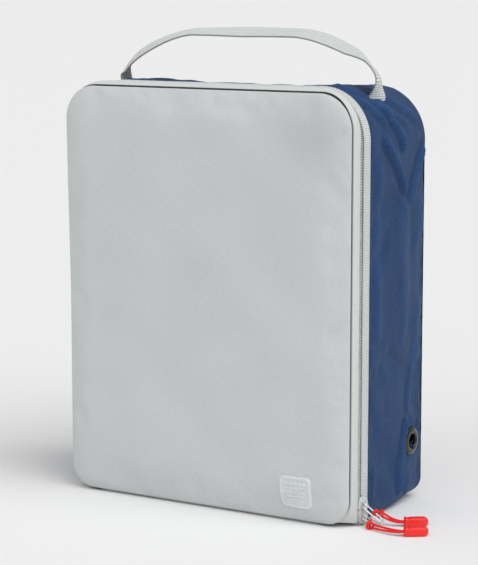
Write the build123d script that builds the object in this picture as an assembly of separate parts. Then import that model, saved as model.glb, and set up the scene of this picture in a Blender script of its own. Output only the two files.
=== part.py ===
from build123d import *
import math
import os

# A soft-sided golf shoe bag that stands on its base, in millimetres.
# X runs to the right, Y to the back and Z up. The origin is on the floor under the middle of the base.

# Driving dimensions of the body
WIDTH = 282.0
HEIGHT = 356.0
DEPTH = 131.0
TOP_RADIUS = 34.0
BOTTOM_RADIUS = 12.0
PANEL_CORNER = 22.0
FABRIC = 1.6
FRONT_Y = -DEPTH / 2
BACK_Y = DEPTH / 2 - 1.2

# The strips that follow the front seam: grey strip, zip and rear tape
STRIP_WIDTH = 12.5
ZIP_OFFSET = 17.9
TAPE_OFFSET = 29.0
ZIP_Y = FRONT_Y + ZIP_OFFSET
REAR_TAPE_Y = FRONT_Y + TAPE_OFFSET
COIL_GAP = 0.8
COIL_WIDTH = 2.0
COIL_INSET = 1.3
COIL_HEIGHT = 1.6
TAPE_INSET = 0.3
ZIP_END_Z = 3.0

# Padded panels: each section is (depth beyond the seam, inset at sides and top, inset at the bottom)
FRONT_CROWN = [(0.0, 0.0, 0.0), (3.0, 3.0, 5.0), (6.0, 10.0, 21.0), (7.5, 26.0, 31.0)]
BACK_CROWN = [(0.0, 0.0, 0.0), (1.8, 3.0, 3.0), (3.2, 12.0, 12.0), (4.0, 30.0, 30.0)]
SKIN = 1.0
FLAP_BOTTOM = 3.0
SMALLEST_TOP_CORNER = 8.0
SMALLEST_LOW_CORNER = 4.0

# Generic raised badge on the front panel
BADGE_X = 94.0
BADGE_Z = 27.0
BADGE_WIDTH = 30.0
BADGE_HEIGHT = 28.0
BADGE_CORNER = 5.0

# Lining and stiffening
LINING = 0.8
LINING_FRONT_Y = -42.5
BOARD = 2.0
BINDING = 1.5
BINDING_WIDTH = 7.0
BINDING_BOTTOM = 26.0
BOARD_WIDTH = 250.0
BOARD_DEPTH = 103.0
BOARD_Y = 10.5
ZIP_TAB = (12.4, 6.0, 1.8)
ZIP_TAB_X = 134.5
ZIP_TAB_Z = 1.3
HINGE_CLEARANCE = 4.0

# Ventilation eyelets in the two sides
EYELET_Y = 41.0
EYELET_Z = 54.0
EYELET_HOLE = 12.7
EYELET_FLANGE = 24.0
EYELET_BARREL = 14.2
EYELET_PLATE = 1.0

# Handle: webbing along a line in the XZ plane
WEBBING_WIDTH = 25.0
WEBBING = 1.8
HANDLE_Y = 3.0
HANDLE_FOOT = (124.8, 350.3)
HANDLE_BEND = (128.5, 365.0)
HANDLE_SHOULDER = (110.0, 381.5)
HANDLE_CROWN = (62.0, 399.5)
HANDLE_RADII = (12.0, 60.0, 150.0)
HANDLE_PIVOT_Z = 362.0
HANDLE_NOTCH = 31.0
HANDLE_GAP = 0.25
FOOT_ANGLES = (36.0, 62.0)
PATCH_ANGLES = (34.0, 64.0)
PATCH_MARGIN = 3.0

# Zip sliders, their wire bails, and the cord pulls
SLIDER_LENGTH = 10.0
SLIDER_WIDTH = 9.0
SLIDER_PLATE = 1.35
SLIDER_GAP = 0.35
LOWER_SLIDER_Z = 3.2
UPPER_SLIDER_Z = 13.6
BRIDGE_HEIGHT = 3.9
BRIDGE_WIDTH = 2.0
BRIDGE_LENGTH = 6.4
BRIDGE_ROUND = 1.6
PLATE_CHAMFER = 2.0
POST_LENGTH = 2.6
PIN_X = WIDTH / 2 + 3.2
BAIL_WIRE = 1.4
BAIL_WIDTH = 7.0
BAIL_CORNER = 1.6
LOWER_PIN_Z = 7.0
UPPER_PIN_Z = 16.8
LOWER_BAR = (158.0, 2.0)
UPPER_BAR = (160.5, 6.0)
LOWER_GRIP_X = 150.5
UPPER_GRIP_X = 151.5
CORD = 2.0
CORD_CLEARANCE = 0.2
CORD_SPREAD = 1.2
UPPER_MOUTH = (172.6, -31.9, 3.9)
LOWER_MOUTH = (186.4, -58.7, 3.9)
UPPER_YAW = math.radians(34.5)
LOWER_YAW = math.radians(37.0)
TIP_LENGTH = 20.0
TIP_HEIGHT = 7.8
TIP_WIDTH = 8.4
TIP_EDGE = 2.4
TIP_ROUND = 3.2


def outline(inset, bottom, top_radius, bottom_radius):
    """The body's outline seen from the front, pulled in by inset, standing on the height bottom."""
    height = HEIGHT - inset - bottom
    sketch = Rectangle(WIDTH - 2 * inset, height)
    sketch = fillet(sketch.vertices().group_by(Axis.Y)[-1], top_radius)
    sketch = fillet(sketch.vertices().group_by(Axis.Y)[0], bottom_radius)
    return Pos(0, bottom + height / 2) * sketch


def facing(y):
    """A plane at Y = y whose own X and Y are the row's X and Z, and whose normal points forward."""
    return Plane(origin=(0, y, 0), x_dir=(1, 0, 0), z_dir=(0, -1, 0))


def slab(sketch, front_y, back_y):
    """A sketch of the front view, made solid from front_y to back_y."""
    return extrude(facing(back_y) * sketch, amount=back_y - front_y)


def arch(inset, thickness, front_y, back_y, bottom):
    """An inverted U that follows both sides and the top, open below the height bottom."""
    below = -HEIGHT / 4
    outer = outline(inset, below, TOP_RADIUS - inset, BOTTOM_RADIUS)
    inner = outline(inset + thickness, below, TOP_RADIUS - inset - thickness, BOTTOM_RADIUS)
    above = Pos(0, bottom + HEIGHT) * Rectangle(2 * WIDTH, 2 * HEIGHT)
    return slab((outer - inner) & above, front_y, back_y)


def crowned(seam_y, outward, sections, bottom, corner, skin):
    """A domed panel: outlines that pull in as they leave the seam, joined by ruled faces."""
    faces = []
    for depth, inset, bottom_inset in sections:
        rise = max(depth - skin, 0.0)
        side = inset + skin
        base = bottom + bottom_inset + skin
        top_radius = max(TOP_RADIUS - side, SMALLEST_TOP_CORNER)
        low_radius = max(corner - side, SMALLEST_LOW_CORNER)
        faces.append(facing(seam_y + outward * rise) * outline(side, base, top_radius, low_radius))
    if skin:
        faces.pop(0)
        first = sections[0]
        start = outline(first[1] + skin, bottom + skin, TOP_RADIUS - skin, corner - skin)
        faces.insert(0, facing(seam_y) * start)
    return loft(faces, ruled=True)


def front_shell():
    return crowned(FRONT_Y, -1, FRONT_CROWN, FLAP_BOTTOM, PANEL_CORNER, 0.0)


def front_filling():
    return crowned(FRONT_Y, -1, FRONT_CROWN, FLAP_BOTTOM, PANEL_CORNER, SKIN)


def back_shell():
    return crowned(BACK_Y, 1, BACK_CROWN, 0.0, BOTTOM_RADIUS, 0.0)


def back_filling():
    return crowned(BACK_Y, 1, BACK_CROWN, 0.0, BOTTOM_RADIUS, SKIN)


def badge():
    """A plain raised badge, a rounded square that follows the crown of the front panel."""
    raised = [(depth + SKIN, inset, low) for depth, inset, low in FRONT_CROWN]
    raised[0] = (0.0, -SKIN, -SKIN)
    proud = crowned(FRONT_Y, -1, raised, FLAP_BOTTOM, PANEL_CORNER, 0.0)
    square = Pos(BADGE_X, BADGE_Z) * RectangleRounded(BADGE_WIDTH, BADGE_HEIGHT, BADGE_CORNER)
    stamp = slab(square, FRONT_Y - DEPTH / 2, FRONT_Y - SKIN)
    return (proud & stamp) - front_shell()


def side_disc(side, radius, x_inner, x_outer):
    """A disc on the eyelet's axis, on the side that the sign of side says."""
    disc = Cylinder(radius, x_outer - x_inner, align=(Align.CENTER, Align.CENTER, Align.MIN))
    return Pos(side * x_inner, EYELET_Y, EYELET_Z) * Rot(0, side * 90, 0) * disc


def gusset():
    """Both sides and the top, from the rear zip tape to the back seam."""
    body = arch(0.0, FABRIC, REAR_TAPE_Y, BACK_Y, BOTTOM_RADIUS)
    half = WIDTH / 2
    for side in (-1, 1):
        body -= side_disc(side, EYELET_BARREL / 2, half - 2 * FABRIC, half + FABRIC)
    return body


def base_panel():
    """The bottom and its two rounded corners."""
    outer = outline(0.0, 0.0, TOP_RADIUS, BOTTOM_RADIUS)
    inner = outline(FABRIC, FABRIC, TOP_RADIUS - FABRIC, BOTTOM_RADIUS - FABRIC)
    below = Pos(0, BOTTOM_RADIUS / 2) * Rectangle(2 * WIDTH, BOTTOM_RADIUS)
    return slab((outer - inner) & below, REAR_TAPE_Y, BACK_Y)


def gusset_lining():
    body = arch(FABRIC, LINING, LINING_FRONT_Y, BACK_Y - LINING, BOTTOM_RADIUS + FABRIC)
    half = WIDTH / 2
    for side in (-1, 1):
        body -= side_disc(side, EYELET_BARREL / 2, half - 4 * FABRIC, half)
    return body


def eyelet(side):
    """A flange on the outside and a barrel through fabric and lining."""
    half = WIDTH / 2
    inner_x = half - FABRIC - LINING - EYELET_PLATE
    flange = side_disc(side, EYELET_FLANGE / 2, half, half + EYELET_PLATE)
    barrel = side_disc(side, EYELET_BARREL / 2, inner_x, half)
    hole = side_disc(side, EYELET_HOLE / 2, inner_x - 1, half + 2 * EYELET_PLATE)
    return flange + barrel - hole


def eyelet_washer(side):
    half = WIDTH / 2
    outer_x = half - FABRIC - LINING
    disc = side_disc(side, EYELET_FLANGE / 2, outer_x - EYELET_PLATE, outer_x)
    return disc - side_disc(side, EYELET_BARREL / 2, outer_x - 2 * EYELET_PLATE, outer_x + 1)


def corner_sector(side, inner_radius, outer_radius, angles, width):
    """A curved plate on a top corner, between two angles above the horizontal."""
    centre_x = WIDTH / 2 - TOP_RADIUS
    centre_z = HEIGHT - TOP_RADIUS
    ring = Circle(outer_radius) - Circle(inner_radius)
    reach = 2 * outer_radius
    low, high = [math.radians(angle) for angle in angles]
    wedge = Polygon(
        (0, 0),
        (reach * math.cos(low), reach * math.sin(low)),
        (reach * math.cos(high), reach * math.sin(high)),
        align=None,
    )
    sector = Pos(centre_x, centre_z) * (ring & wedge)
    plate = slab(sector, HANDLE_Y - width / 2, HANDLE_Y + width / 2)
    if side < 0:
        plate = mirror(plate, about=Plane.YZ)
    return plate


def handle_line():
    """The centre line of the webbing, from the left foot over the crown to the right foot."""
    right = [HANDLE_FOOT, HANDLE_BEND, HANDLE_SHOULDER, HANDLE_CROWN]
    left = [(-x, z) for x, z in right]
    points = [Vector(x, HANDLE_Y, z) for x, z in left + right[::-1]]
    return FilletPolyline(*points, radius=list(HANDLE_RADII) + list(HANDLE_RADII[::-1]))


def whole_webbing():
    line = handle_line()
    section = Plane(origin=line @ 0, x_dir=(0, 1, 0), z_dir=line % 0)
    return sweep(section * Rectangle(WEBBING_WIDTH, WEBBING), path=line)


def notch(lift, upward):
    """A wedge through both legs of the webbing, its point on the pivot, opening up or down."""
    reach = WEBBING_WIDTH
    rise = reach * math.tan(math.radians(HANDLE_NOTCH)) * upward
    far = 3 * reach * upward
    pivot = HANDLE_PIVOT_Z + lift
    outline_points = [
        (HANDLE_Y, pivot),
        (HANDLE_Y + reach, pivot + rise),
        (HANDLE_Y + reach, pivot + far),
        (HANDLE_Y - reach, pivot + far),
        (HANDLE_Y - reach, pivot + rise),
    ]
    wedge = Plane.YZ * Polygon(*outline_points, align=None)
    return extrude(wedge, amount=WIDTH, both=True)


def handle_webbing():
    """The part of the webbing that swings, above the pivot."""
    return whole_webbing() & notch(HANDLE_GAP, 1)


def handle_end(side):
    """A leg's root below the pivot, with the curved foot that is sewn to the corner."""
    root = whole_webbing() & notch(-HANDLE_GAP, -1)
    half_space = Pos(side * WIDTH / 2, 0, HEIGHT) * Box(WIDTH, 4 * WEBBING_WIDTH, HEIGHT)
    body = slab(outline(0.0, 0.0, TOP_RADIUS, BOTTOM_RADIUS), FRONT_Y, BACK_Y)
    foot = corner_sector(side, TOP_RADIUS, TOP_RADIUS + WEBBING, FOOT_ANGLES, WEBBING_WIDTH)
    return (root & half_space) - body + foot


def handle_patch(side):
    """A doubled piece of webbing inside the corner, behind the handle's sewn foot."""
    outer = TOP_RADIUS - FABRIC - LINING
    return corner_sector(side, outer - BINDING, outer, PATCH_ANGLES, WEBBING_WIDTH + 2 * PATCH_MARGIN)


def slider(bottom_z, nose_z, pin_z):
    """Two plates astride the zip, the post that parts the coils, and the bridge for the bail."""
    outer_x = WIDTH / 2 - TAPE_INSET + SLIDER_GAP
    inner_x = WIDTH / 2 - COIL_INSET - COIL_HEIGHT - SLIDER_GAP
    middle_z = bottom_z + SLIDER_LENGTH / 2
    plate = Box(SLIDER_PLATE, SLIDER_WIDTH, SLIDER_LENGTH)
    plate = chamfer(plate.edges().filter_by(Axis.X), PLATE_CHAMFER)
    outer = Pos(outer_x + SLIDER_PLATE / 2, ZIP_Y, middle_z) * plate
    inner = Pos(inner_x - SLIDER_PLATE / 2, ZIP_Y, middle_z) * plate
    post = Box(outer_x - inner_x, COIL_GAP, POST_LENGTH)
    post = Pos((outer_x + inner_x) / 2, ZIP_Y, nose_z) * post
    bridge_x = outer_x + SLIDER_PLATE + BRIDGE_HEIGHT / 2
    bridge = Box(BRIDGE_HEIGHT, BRIDGE_WIDTH, BRIDGE_LENGTH)
    bridge = fillet(bridge.edges().filter_by(Axis.Y).group_by(Axis.X)[-1], BRIDGE_ROUND)
    bridge = Pos(bridge_x, ZIP_Y, pin_z) * bridge
    hole = Rot(90, 0, 0) * Cylinder(BAIL_WIRE / 2 + SLIDER_GAP, 2 * BRIDGE_WIDTH)
    return outer + inner + post + bridge - Pos(PIN_X, ZIP_Y, pin_z) * hole


def bail(pin_z, bar):
    """A wire loop from the bridge to the bar that carries the cord."""
    run_x = bar[0] - PIN_X
    run_z = bar[1] - pin_z
    length = math.hypot(run_x, run_z)
    along = Vector(run_x, 0, run_z)
    middle = Vector(PIN_X + run_x / 2, ZIP_Y, pin_z + run_z / 2)
    face = Plane(origin=middle, x_dir=along, z_dir=along.cross(Vector(0, 1, 0)))
    loop = (face * RectangleRounded(length, BAIL_WIDTH, BAIL_CORNER)).face().outer_wire()
    section = Plane(origin=loop @ 0, z_dir=loop % 0)
    return sweep(section * Circle(BAIL_WIRE / 2), path=loop)


def cord_points(pin_z, bar, grip_x, leg_side, mouth, yaw):
    """The route of one cord: out of the tip, over one leg of the bail, round it and back to the tip."""
    over = BAIL_WIRE / 2 + CORD / 2 + CORD_CLEARANCE
    leg_y = ZIP_Y + leg_side * BAIL_WIDTH / 2
    root = Vector(PIN_X, leg_y, pin_z)
    leg = Vector(bar[0], leg_y, bar[1]) - root
    grip = root + leg * ((grip_x - PIN_X) / (bar[0] - PIN_X))
    leg = leg.normalized()
    away = Vector(0, leg_side, 0)
    up = Vector(-leg.Z, 0, leg.X)
    tip = Vector(*mouth)
    along = Vector(math.cos(yaw), math.sin(yaw), 0)
    side = Vector(-math.sin(yaw), math.cos(yaw), 0)
    middle = [tip, tip - along * 7, grip + away * 5 + leg * 4, grip - away * over]
    apart = [side * CORD_SPREAD, side + Vector(0, 0, 0.6), up * 1.7, up * over]
    leaving = [place + shift for place, shift in zip(middle, apart)]
    coming = [place - shift for place, shift in zip(middle, apart)]
    return leaving + coming[::-1]


def pull_cord(name, points):
    """A tube of straight runs and tangent arcs, each arc as large as its two runs allow."""
    radii = []
    for before, corner, after in zip(points, points[1:], points[2:]):
        turn = math.radians((corner - before).get_angle(after - corner))
        run = min((corner - before).length, (after - corner).length)
        radii.append(0.45 * run / math.tan(turn / 2))
    line = FilletPolyline(*points, radius=radii)
    section = Plane(origin=line @ 0, z_dir=line % 0)
    tube = sweep(section * Circle(CORD / 2), path=line)
    expected = math.pi * CORD ** 2 / 4 * line.length
    print(name, "length", round(line.length, 1), "volume ratio", round(tube.volume / expected, 3))
    print(name, "radii", [round(radius, 1) for radius in radii])
    return tube


def pull_tip(mouth, yaw):
    """A moulded tip: square at the cord's end and rounded at the far end."""
    block = Box(TIP_LENGTH, TIP_WIDTH, TIP_HEIGHT, align=(Align.MIN, Align.CENTER, Align.CENTER))
    block = fillet(block.edges().filter_by(Axis.X), TIP_EDGE)
    block = fillet(block.faces().sort_by(Axis.X)[-1].edges(), TIP_ROUND)
    return Pos(*mouth) * Rot(0, 0, math.degrees(yaw)) * block


def zip_tab(side):
    """The fabric tab that closes the zip's end beside the base."""
    return Pos(side * ZIP_TAB_X, ZIP_Y, ZIP_TAB_Z) * Box(*ZIP_TAB)


def front_strip():
    """The strip between front seam and zip; its lower ends narrow to the panel's rounder corners."""
    strip_back_y = FRONT_Y + STRIP_WIDTH
    strip = arch(0.0, FABRIC, FRONT_Y, strip_back_y, ZIP_END_Z)
    seam_face = facing(FRONT_Y) * outline(0.0, ZIP_END_Z, TOP_RADIUS, PANEL_CORNER)
    zip_face = facing(strip_back_y) * outline(0.0, ZIP_END_Z, TOP_RADIUS, SMALLEST_LOW_CORNER)
    return strip & loft([seam_face, zip_face], ruled=True)


def layer(bottom_z, thickness):
    """A flat sheet over the base, inside the gusset."""
    sheet = Box(BOARD_WIDTH, BOARD_DEPTH, thickness, align=(Align.CENTER, Align.CENTER, Align.MIN))
    return Pos(0, BOARD_Y, bottom_z) * sheet


def hinge_strip():
    """The folding strip between the flap's bottom edge and the base panel."""
    depth = REAR_TAPE_Y - FRONT_Y - HINGE_CLEARANCE
    width = WIDTH - 2 * BOTTOM_RADIUS - 2
    return Pos(0, REAR_TAPE_Y - depth / 2, FABRIC / 2) * Box(width, depth, FABRIC)


def build_nodes():
    front_coil_y = ZIP_Y - COIL_GAP
    rear_coil_y = ZIP_Y + COIL_GAP
    lining_corner = TOP_RADIUS - FABRIC - LINING
    upper_points = cord_points(UPPER_PIN_Z, UPPER_BAR, UPPER_GRIP_X, 1, UPPER_MOUTH, UPPER_YAW)
    lower_points = cord_points(LOWER_PIN_Z, LOWER_BAR, LOWER_GRIP_X, -1, LOWER_MOUTH, LOWER_YAW)
    upper_nose_z = UPPER_SLIDER_Z + POST_LENGTH / 2
    lower_nose_z = LOWER_SLIDER_Z + SLIDER_LENGTH - POST_LENGTH / 2
    nodes = {
        "side_gusset": gusset(),
        "base_panel": base_panel(),
        "gusset_lining": gusset_lining(),
        "base_board": layer(FABRIC, BOARD),
        "base_lining": layer(FABRIC + BOARD, LINING),
        "hinge_strip": hinge_strip(),
        "back_panel": back_shell() - back_filling(),
        "back_foam": back_filling(),
        "back_lining": slab(
            outline(FABRIC + LINING, FABRIC + LINING, lining_corner, BOTTOM_RADIUS), BACK_Y - LINING, BACK_Y
        ),
        "rear_binding": arch(
            FABRIC + LINING, BINDING, BACK_Y - BINDING_WIDTH, BACK_Y - LINING, BINDING_BOTTOM
        ),
        "rear_zip_tape": arch(TAPE_INSET, 1.0, rear_coil_y, REAR_TAPE_Y, ZIP_END_Z),
        "rear_zip_coil": arch(COIL_INSET, COIL_HEIGHT, rear_coil_y, rear_coil_y + COIL_WIDTH, ZIP_END_Z),
        "front_panel": front_shell() - front_filling(),
        "front_foam": front_filling(),
        "front_lining": slab(
            outline(FABRIC, FLAP_BOTTOM + FABRIC, TOP_RADIUS - FABRIC, PANEL_CORNER), FRONT_Y, FRONT_Y + LINING
        ),
        "front_strip": front_strip(),
        "front_binding": arch(FABRIC, BINDING, FRONT_Y + LINING, FRONT_Y + BINDING_WIDTH, BINDING_BOTTOM),
        "front_zip_tape": arch(TAPE_INSET, 1.0, FRONT_Y + STRIP_WIDTH, front_coil_y, ZIP_END_Z),
        "front_zip_coil": arch(COIL_INSET, COIL_HEIGHT, front_coil_y - COIL_WIDTH, front_coil_y, ZIP_END_Z),
        "badge": badge(),
        "handle_webbing": handle_webbing(),
        "upper_slider": slider(UPPER_SLIDER_Z, upper_nose_z, UPPER_PIN_Z),
        "upper_bail": bail(UPPER_PIN_Z, UPPER_BAR),
        "upper_pull_cord": pull_cord("upper_pull_cord", upper_points),
        "upper_pull_tip": pull_tip(UPPER_MOUTH, UPPER_YAW),
        "lower_slider": slider(LOWER_SLIDER_Z, lower_nose_z, LOWER_PIN_Z),
        "lower_bail": bail(LOWER_PIN_Z, LOWER_BAR),
        "lower_pull_cord": pull_cord("lower_pull_cord", lower_points),
        "lower_pull_tip": pull_tip(LOWER_MOUTH, LOWER_YAW),
    }
    for name, side in (("left", -1), ("right", 1)):
        nodes[name + "_eyelet"] = eyelet(side)
        nodes[name + "_eyelet_washer"] = eyelet_washer(side)
        nodes[name + "_handle_end"] = handle_end(side)
        nodes[name + "_handle_patch"] = handle_patch(side)
        nodes[name + "_zip_tab"] = zip_tab(side)
    return nodes


os.makedirs("parts", exist_ok=True)
for node, shape in build_nodes().items():
    export_step(shape, "parts/" + node + ".step")
    print(node, "valid", shape.is_valid, "solids", len(shape.solids()))
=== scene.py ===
"""The looks of a soft-sided golf shoe bag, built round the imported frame.

Lengths in this file are in millimetres and angles in degrees, unless a name says otherwise.
Blender gets metres: make() and its callers scale by MM.
"""
import math
import bpy
import bmesh
import numpy as np
from mathutils import Matrix, Vector
from mathutils.bvhtree import BVHTree


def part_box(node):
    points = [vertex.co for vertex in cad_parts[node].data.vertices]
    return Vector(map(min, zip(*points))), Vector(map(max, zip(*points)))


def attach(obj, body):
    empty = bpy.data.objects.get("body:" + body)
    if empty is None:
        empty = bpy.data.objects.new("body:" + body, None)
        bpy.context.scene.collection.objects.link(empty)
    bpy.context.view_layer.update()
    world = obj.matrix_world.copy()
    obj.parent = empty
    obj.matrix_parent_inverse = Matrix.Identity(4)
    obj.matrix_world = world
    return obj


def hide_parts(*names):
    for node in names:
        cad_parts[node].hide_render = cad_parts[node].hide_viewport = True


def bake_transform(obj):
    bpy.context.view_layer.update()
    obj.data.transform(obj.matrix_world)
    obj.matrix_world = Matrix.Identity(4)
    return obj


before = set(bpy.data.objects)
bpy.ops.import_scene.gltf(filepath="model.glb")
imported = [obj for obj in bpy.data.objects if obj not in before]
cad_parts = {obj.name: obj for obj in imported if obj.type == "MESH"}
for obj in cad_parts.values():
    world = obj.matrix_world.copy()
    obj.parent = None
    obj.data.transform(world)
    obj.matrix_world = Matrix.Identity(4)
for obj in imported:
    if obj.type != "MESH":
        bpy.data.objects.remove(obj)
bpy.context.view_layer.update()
MM = 0.001


def low(node, axis):
    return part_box(node)[0][axis] / MM


def high(node, axis):
    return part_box(node)[1][axis] / MM


# Places of the CAD parts
HALF = high("side_gusset", 0)
TOP = high("side_gusset", 2)
SEAM_Y = low("front_strip", 1)
STRIP_Y = high("front_strip", 1)
FRONT_COIL_Y = high("front_zip_tape", 1)
REAR_COIL_Y = low("rear_zip_tape", 1)
ZIP_Y = (FRONT_COIL_Y + REAR_COIL_Y) / 2
TAPE_Y = low("side_gusset", 1)
BACK_Y = high("side_gusset", 1)
FLAP_Z = low("front_panel", 2)
EYELET_Y = (low("right_eyelet", 1) + high("right_eyelet", 1)) / 2
EYELET_Z = (low("right_eyelet", 2) + high("right_eyelet", 2)) / 2
EYELET_RADIUS = (high("right_eyelet", 2) - low("right_eyelet", 2)) / 2
HANDLE_Y = (low("handle_webbing", 1) + high("handle_webbing", 1)) / 2
BADGE_X = (low("badge", 0) + high("badge", 0)) / 2
BADGE_Z = (low("badge", 2) + high("badge", 2)) / 2
BADGE_HALF = ((high("badge", 0) - low("badge", 0)) / 2, (high("badge", 2) - low("badge", 2)) / 2)
TOP_RADIUS = 34.0
LOW_RADIUS = 12.0
PANEL_RADIUS = 22.0
ARCH_SIDE = TOP - TOP_RADIUS
ARCH_CORNER = TOP_RADIUS * math.pi / 2
ARCH_TOP = 2 * (HALF - TOP_RADIUS)
ARCH_LENGTH = 2 * ARCH_SIDE + 2 * ARCH_CORNER + ARCH_TOP
BACK_LOW_RADIUS = 18.0
LEAN = 2.6
DROOP = 3.6
RISE = 2.0
FRONT_DROP = 3.0
FRONT_TOP_RADIUS = 30.0
ZIP_TOP_RADIUS = 43.0
BACK_TOP_RADIUS = 48.0
BACK_TAPER = 2.4


# ---------------------------------------------------------------- materials

def rgb(red, green, blue):
    """An 8-bit display colour as the linear colour that Blender takes."""
    linear = []
    for value in (red, green, blue):
        share = value / 255
        linear.append(share / 12.92 if share <= 0.04045 else ((share + 0.055) / 1.055) ** 2.4)
    return (*linear, 1.0)


class Graph:
    """A material's nodes. Sockets of the shader are named with _ for a space."""

    def __init__(self, name, **sockets):
        self.material = bpy.data.materials.new(name)
        self.material.use_nodes = True
        self.tree = self.material.node_tree
        self.shader = self.tree.nodes["Principled BSDF"]
        for key, value in sockets.items():
            self.shader.inputs[key.replace("_", " ")].default_value = value

    def add(self, kind, *inputs, output=0, **settings):
        node = self.tree.nodes.new("ShaderNode" + kind)
        for key, value in settings.items():
            setattr(node, key, value)
        for index, value in enumerate(inputs):
            if isinstance(value, bpy.types.NodeSocket):
                self.tree.links.new(value, node.inputs[index])
            elif value is not None:
                node.inputs[index].default_value = value
        return node.outputs[output]

    def math(self, operation, *inputs):
        return self.add("Math", *inputs, operation=operation)

    def wave(self, value, pitch):
        """A sine of value, once per pitch."""
        return self.math("SINE", self.math("MULTIPLY", value, 2 * math.pi / pitch))

    def noise(self, vector, scale, detail=2.0, roughness=0.5):
        return self.add("TexNoise", vector, None, scale, detail, roughness)

    def ramp(self, value, start, end, low_value, high_value):
        return self.add("MapRange", value, start, end, low_value, high_value)

    def mix(self, share, first, second, blend="MIX"):
        node = self.tree.nodes.new("ShaderNodeMix")
        node.data_type = "RGBA"
        node.blend_type = blend
        for index, value in ((0, share), (6, first), (7, second)):
            if isinstance(value, bpy.types.NodeSocket):
                self.tree.links.new(value, node.inputs[index])
            else:
                node.inputs[index].default_value = value
        return node.outputs[2]

    def finish(self, colour=None, rough=None, height=None, depth=0.1, strength=0.6):
        shader = self.shader
        if colour is not None:
            self.tree.links.new(colour, shader.inputs["Base Color"])
        if rough is not None:
            self.tree.links.new(rough, shader.inputs["Roughness"])
        if height is not None:
            bump = self.tree.nodes.new("ShaderNodeBump")
            bump.inputs["Strength"].default_value = strength
            bump.inputs["Distance"].default_value = depth * MM
            self.tree.links.new(height, bump.inputs["Height"])
            self.tree.links.new(bump.outputs["Normal"], shader.inputs["Normal"])
        return self.material


def shaded(colour, factor):
    return (colour[0] * factor, colour[1] * factor, colour[2] * factor, 1.0)


def fabric(name, colour, pattern, pitch, melange=0.06, depth=0.12, sheen=0.2, rough=0.85, shine=0.25):
    """Cloth with threads of a given pitch, streaks along the threads, and soft blotches.

    The mesh has a "cloth" attribute: x and y along the cloth in metres, z a factor on its colour, which
    carries painted shade and light in seams, folds and ribs as well as some random tone.
    """
    g = Graph(name, Sheen_Weight=sheen, Sheen_Roughness=0.5, Specular_IOR_Level=shine)
    cloth = g.add("Attribute", attribute_name="cloth", output=1)
    parts = g.tree.nodes.new("ShaderNodeSeparateXYZ")
    g.tree.links.new(cloth, parts.inputs[0])
    u, v, shade = parts.outputs
    size = pitch * MM
    flat = g.add("CombineXYZ", u, v, 0.0)
    if pattern == "ribs":
        height = g.wave(u, size)
        fine = g.math("MULTIPLY", g.wave(v, size * 0.45), 0.35)
        height = g.math("ADD", height, fine)
    elif pattern == "twill":
        height = g.wave(g.math("ADD", u, v), size)
    elif pattern == "plain":
        height = g.math("MULTIPLY", g.wave(u, size * 2), g.wave(v, size * 2))
    else:
        height = g.noise(flat, 0.5 / size, 3.0, 0.7)
    warp = g.noise(g.add("Mapping", flat, None, None, (1.0, 0.2, 1.0)), 0.7 / size)
    weft = g.noise(g.add("Mapping", flat, None, None, (0.2, 1.0, 1.0)), 0.7 / size)
    blotch = g.noise(flat, 9.0, 3.0, 0.6)
    streaks = g.math("ADD", warp, weft)
    tone = g.ramp(streaks, 0.6, 1.4, 1.0 - melange, 1.0 + melange)
    tone = g.math("MULTIPLY", tone, g.ramp(blotch, 0.3, 0.7, 0.975, 1.02))
    slub = g.noise(g.add("Mapping", flat, None, None, (1.0, 0.4, 1.0)), 520.0, 2.0, 0.6)
    tone = g.math("MULTIPLY", tone, g.ramp(slub, 0.3, 0.7, 1.0 - 0.5 * melange, 1.0 + 0.5 * melange))
    tone = g.math("MULTIPLY", tone, g.ramp(height, -1.0, 1.0, 1.0 - melange, 1.0))
    # The colour is multiplied by the cloth's factor: painted shade and light, and random tone.
    tone = g.math("MULTIPLY", tone, shade)
    grey = g.add("CombineXYZ", tone, tone, tone)
    result = g.mix(1.0, colour, grey, "MULTIPLY")
    roughness = g.ramp(streaks, 0.6, 1.4, rough - 0.06, min(rough + 0.06, 1.0))
    return g.finish(result, roughness, height, depth)


def moulded(name, colour, rough=0.45, metal=0.0, coat=0.0, grain=600.0, wear=0.12):
    """Enamel, plated metal or rubber: fine grain in its gloss, and a slight change of tone."""
    g = Graph(name, Metallic=metal, Coat_Weight=coat, Coat_Roughness=0.25, Specular_IOR_Level=0.5)
    place = g.add("TexCoord", output=3)
    fine = g.noise(place, grain, 3.0, 0.6)
    broad = g.noise(place, 140.0, 3.0, 0.6)
    result = g.mix(g.ramp(broad, 0.35, 0.7, 0.0, 1.0), shaded(colour, 1 - wear), shaded(colour, 1 + wear))
    roughness = g.ramp(g.math("ADD", fine, broad), 0.6, 1.4, rough - 0.08, rough + 0.1)
    return g.finish(result, roughness, fine, 0.05, 0.35)


def braid(name, colour):
    """A cord's braid, over the curve's own length and round coordinates."""
    g = Graph(name, Sheen_Weight=0.25, Sheen_Roughness=0.4, Specular_IOR_Level=0.35)
    place = g.add("TexCoord", output=2)
    parts = g.tree.nodes.new("ShaderNodeSeparateXYZ")
    g.tree.links.new(place, parts.inputs[0])
    along = g.math("MULTIPLY", parts.outputs[0], 46.0)
    around = g.math("MULTIPLY", parts.outputs[1], 4.0)
    one = g.wave(g.math("ADD", along, around), 1.0)
    two = g.wave(g.math("SUBTRACT", along, around), 1.0)
    height = g.math("MULTIPLY", one, two)
    tone = g.ramp(height, -1.0, 1.0, 0.0, 1.0)
    result = g.mix(tone, shaded(colour, 0.78), shaded(colour, 1.05))
    rough = g.ramp(height, -1.0, 1.0, 0.75, 0.6)
    return g.finish(result, rough, height, 0.12)


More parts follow.
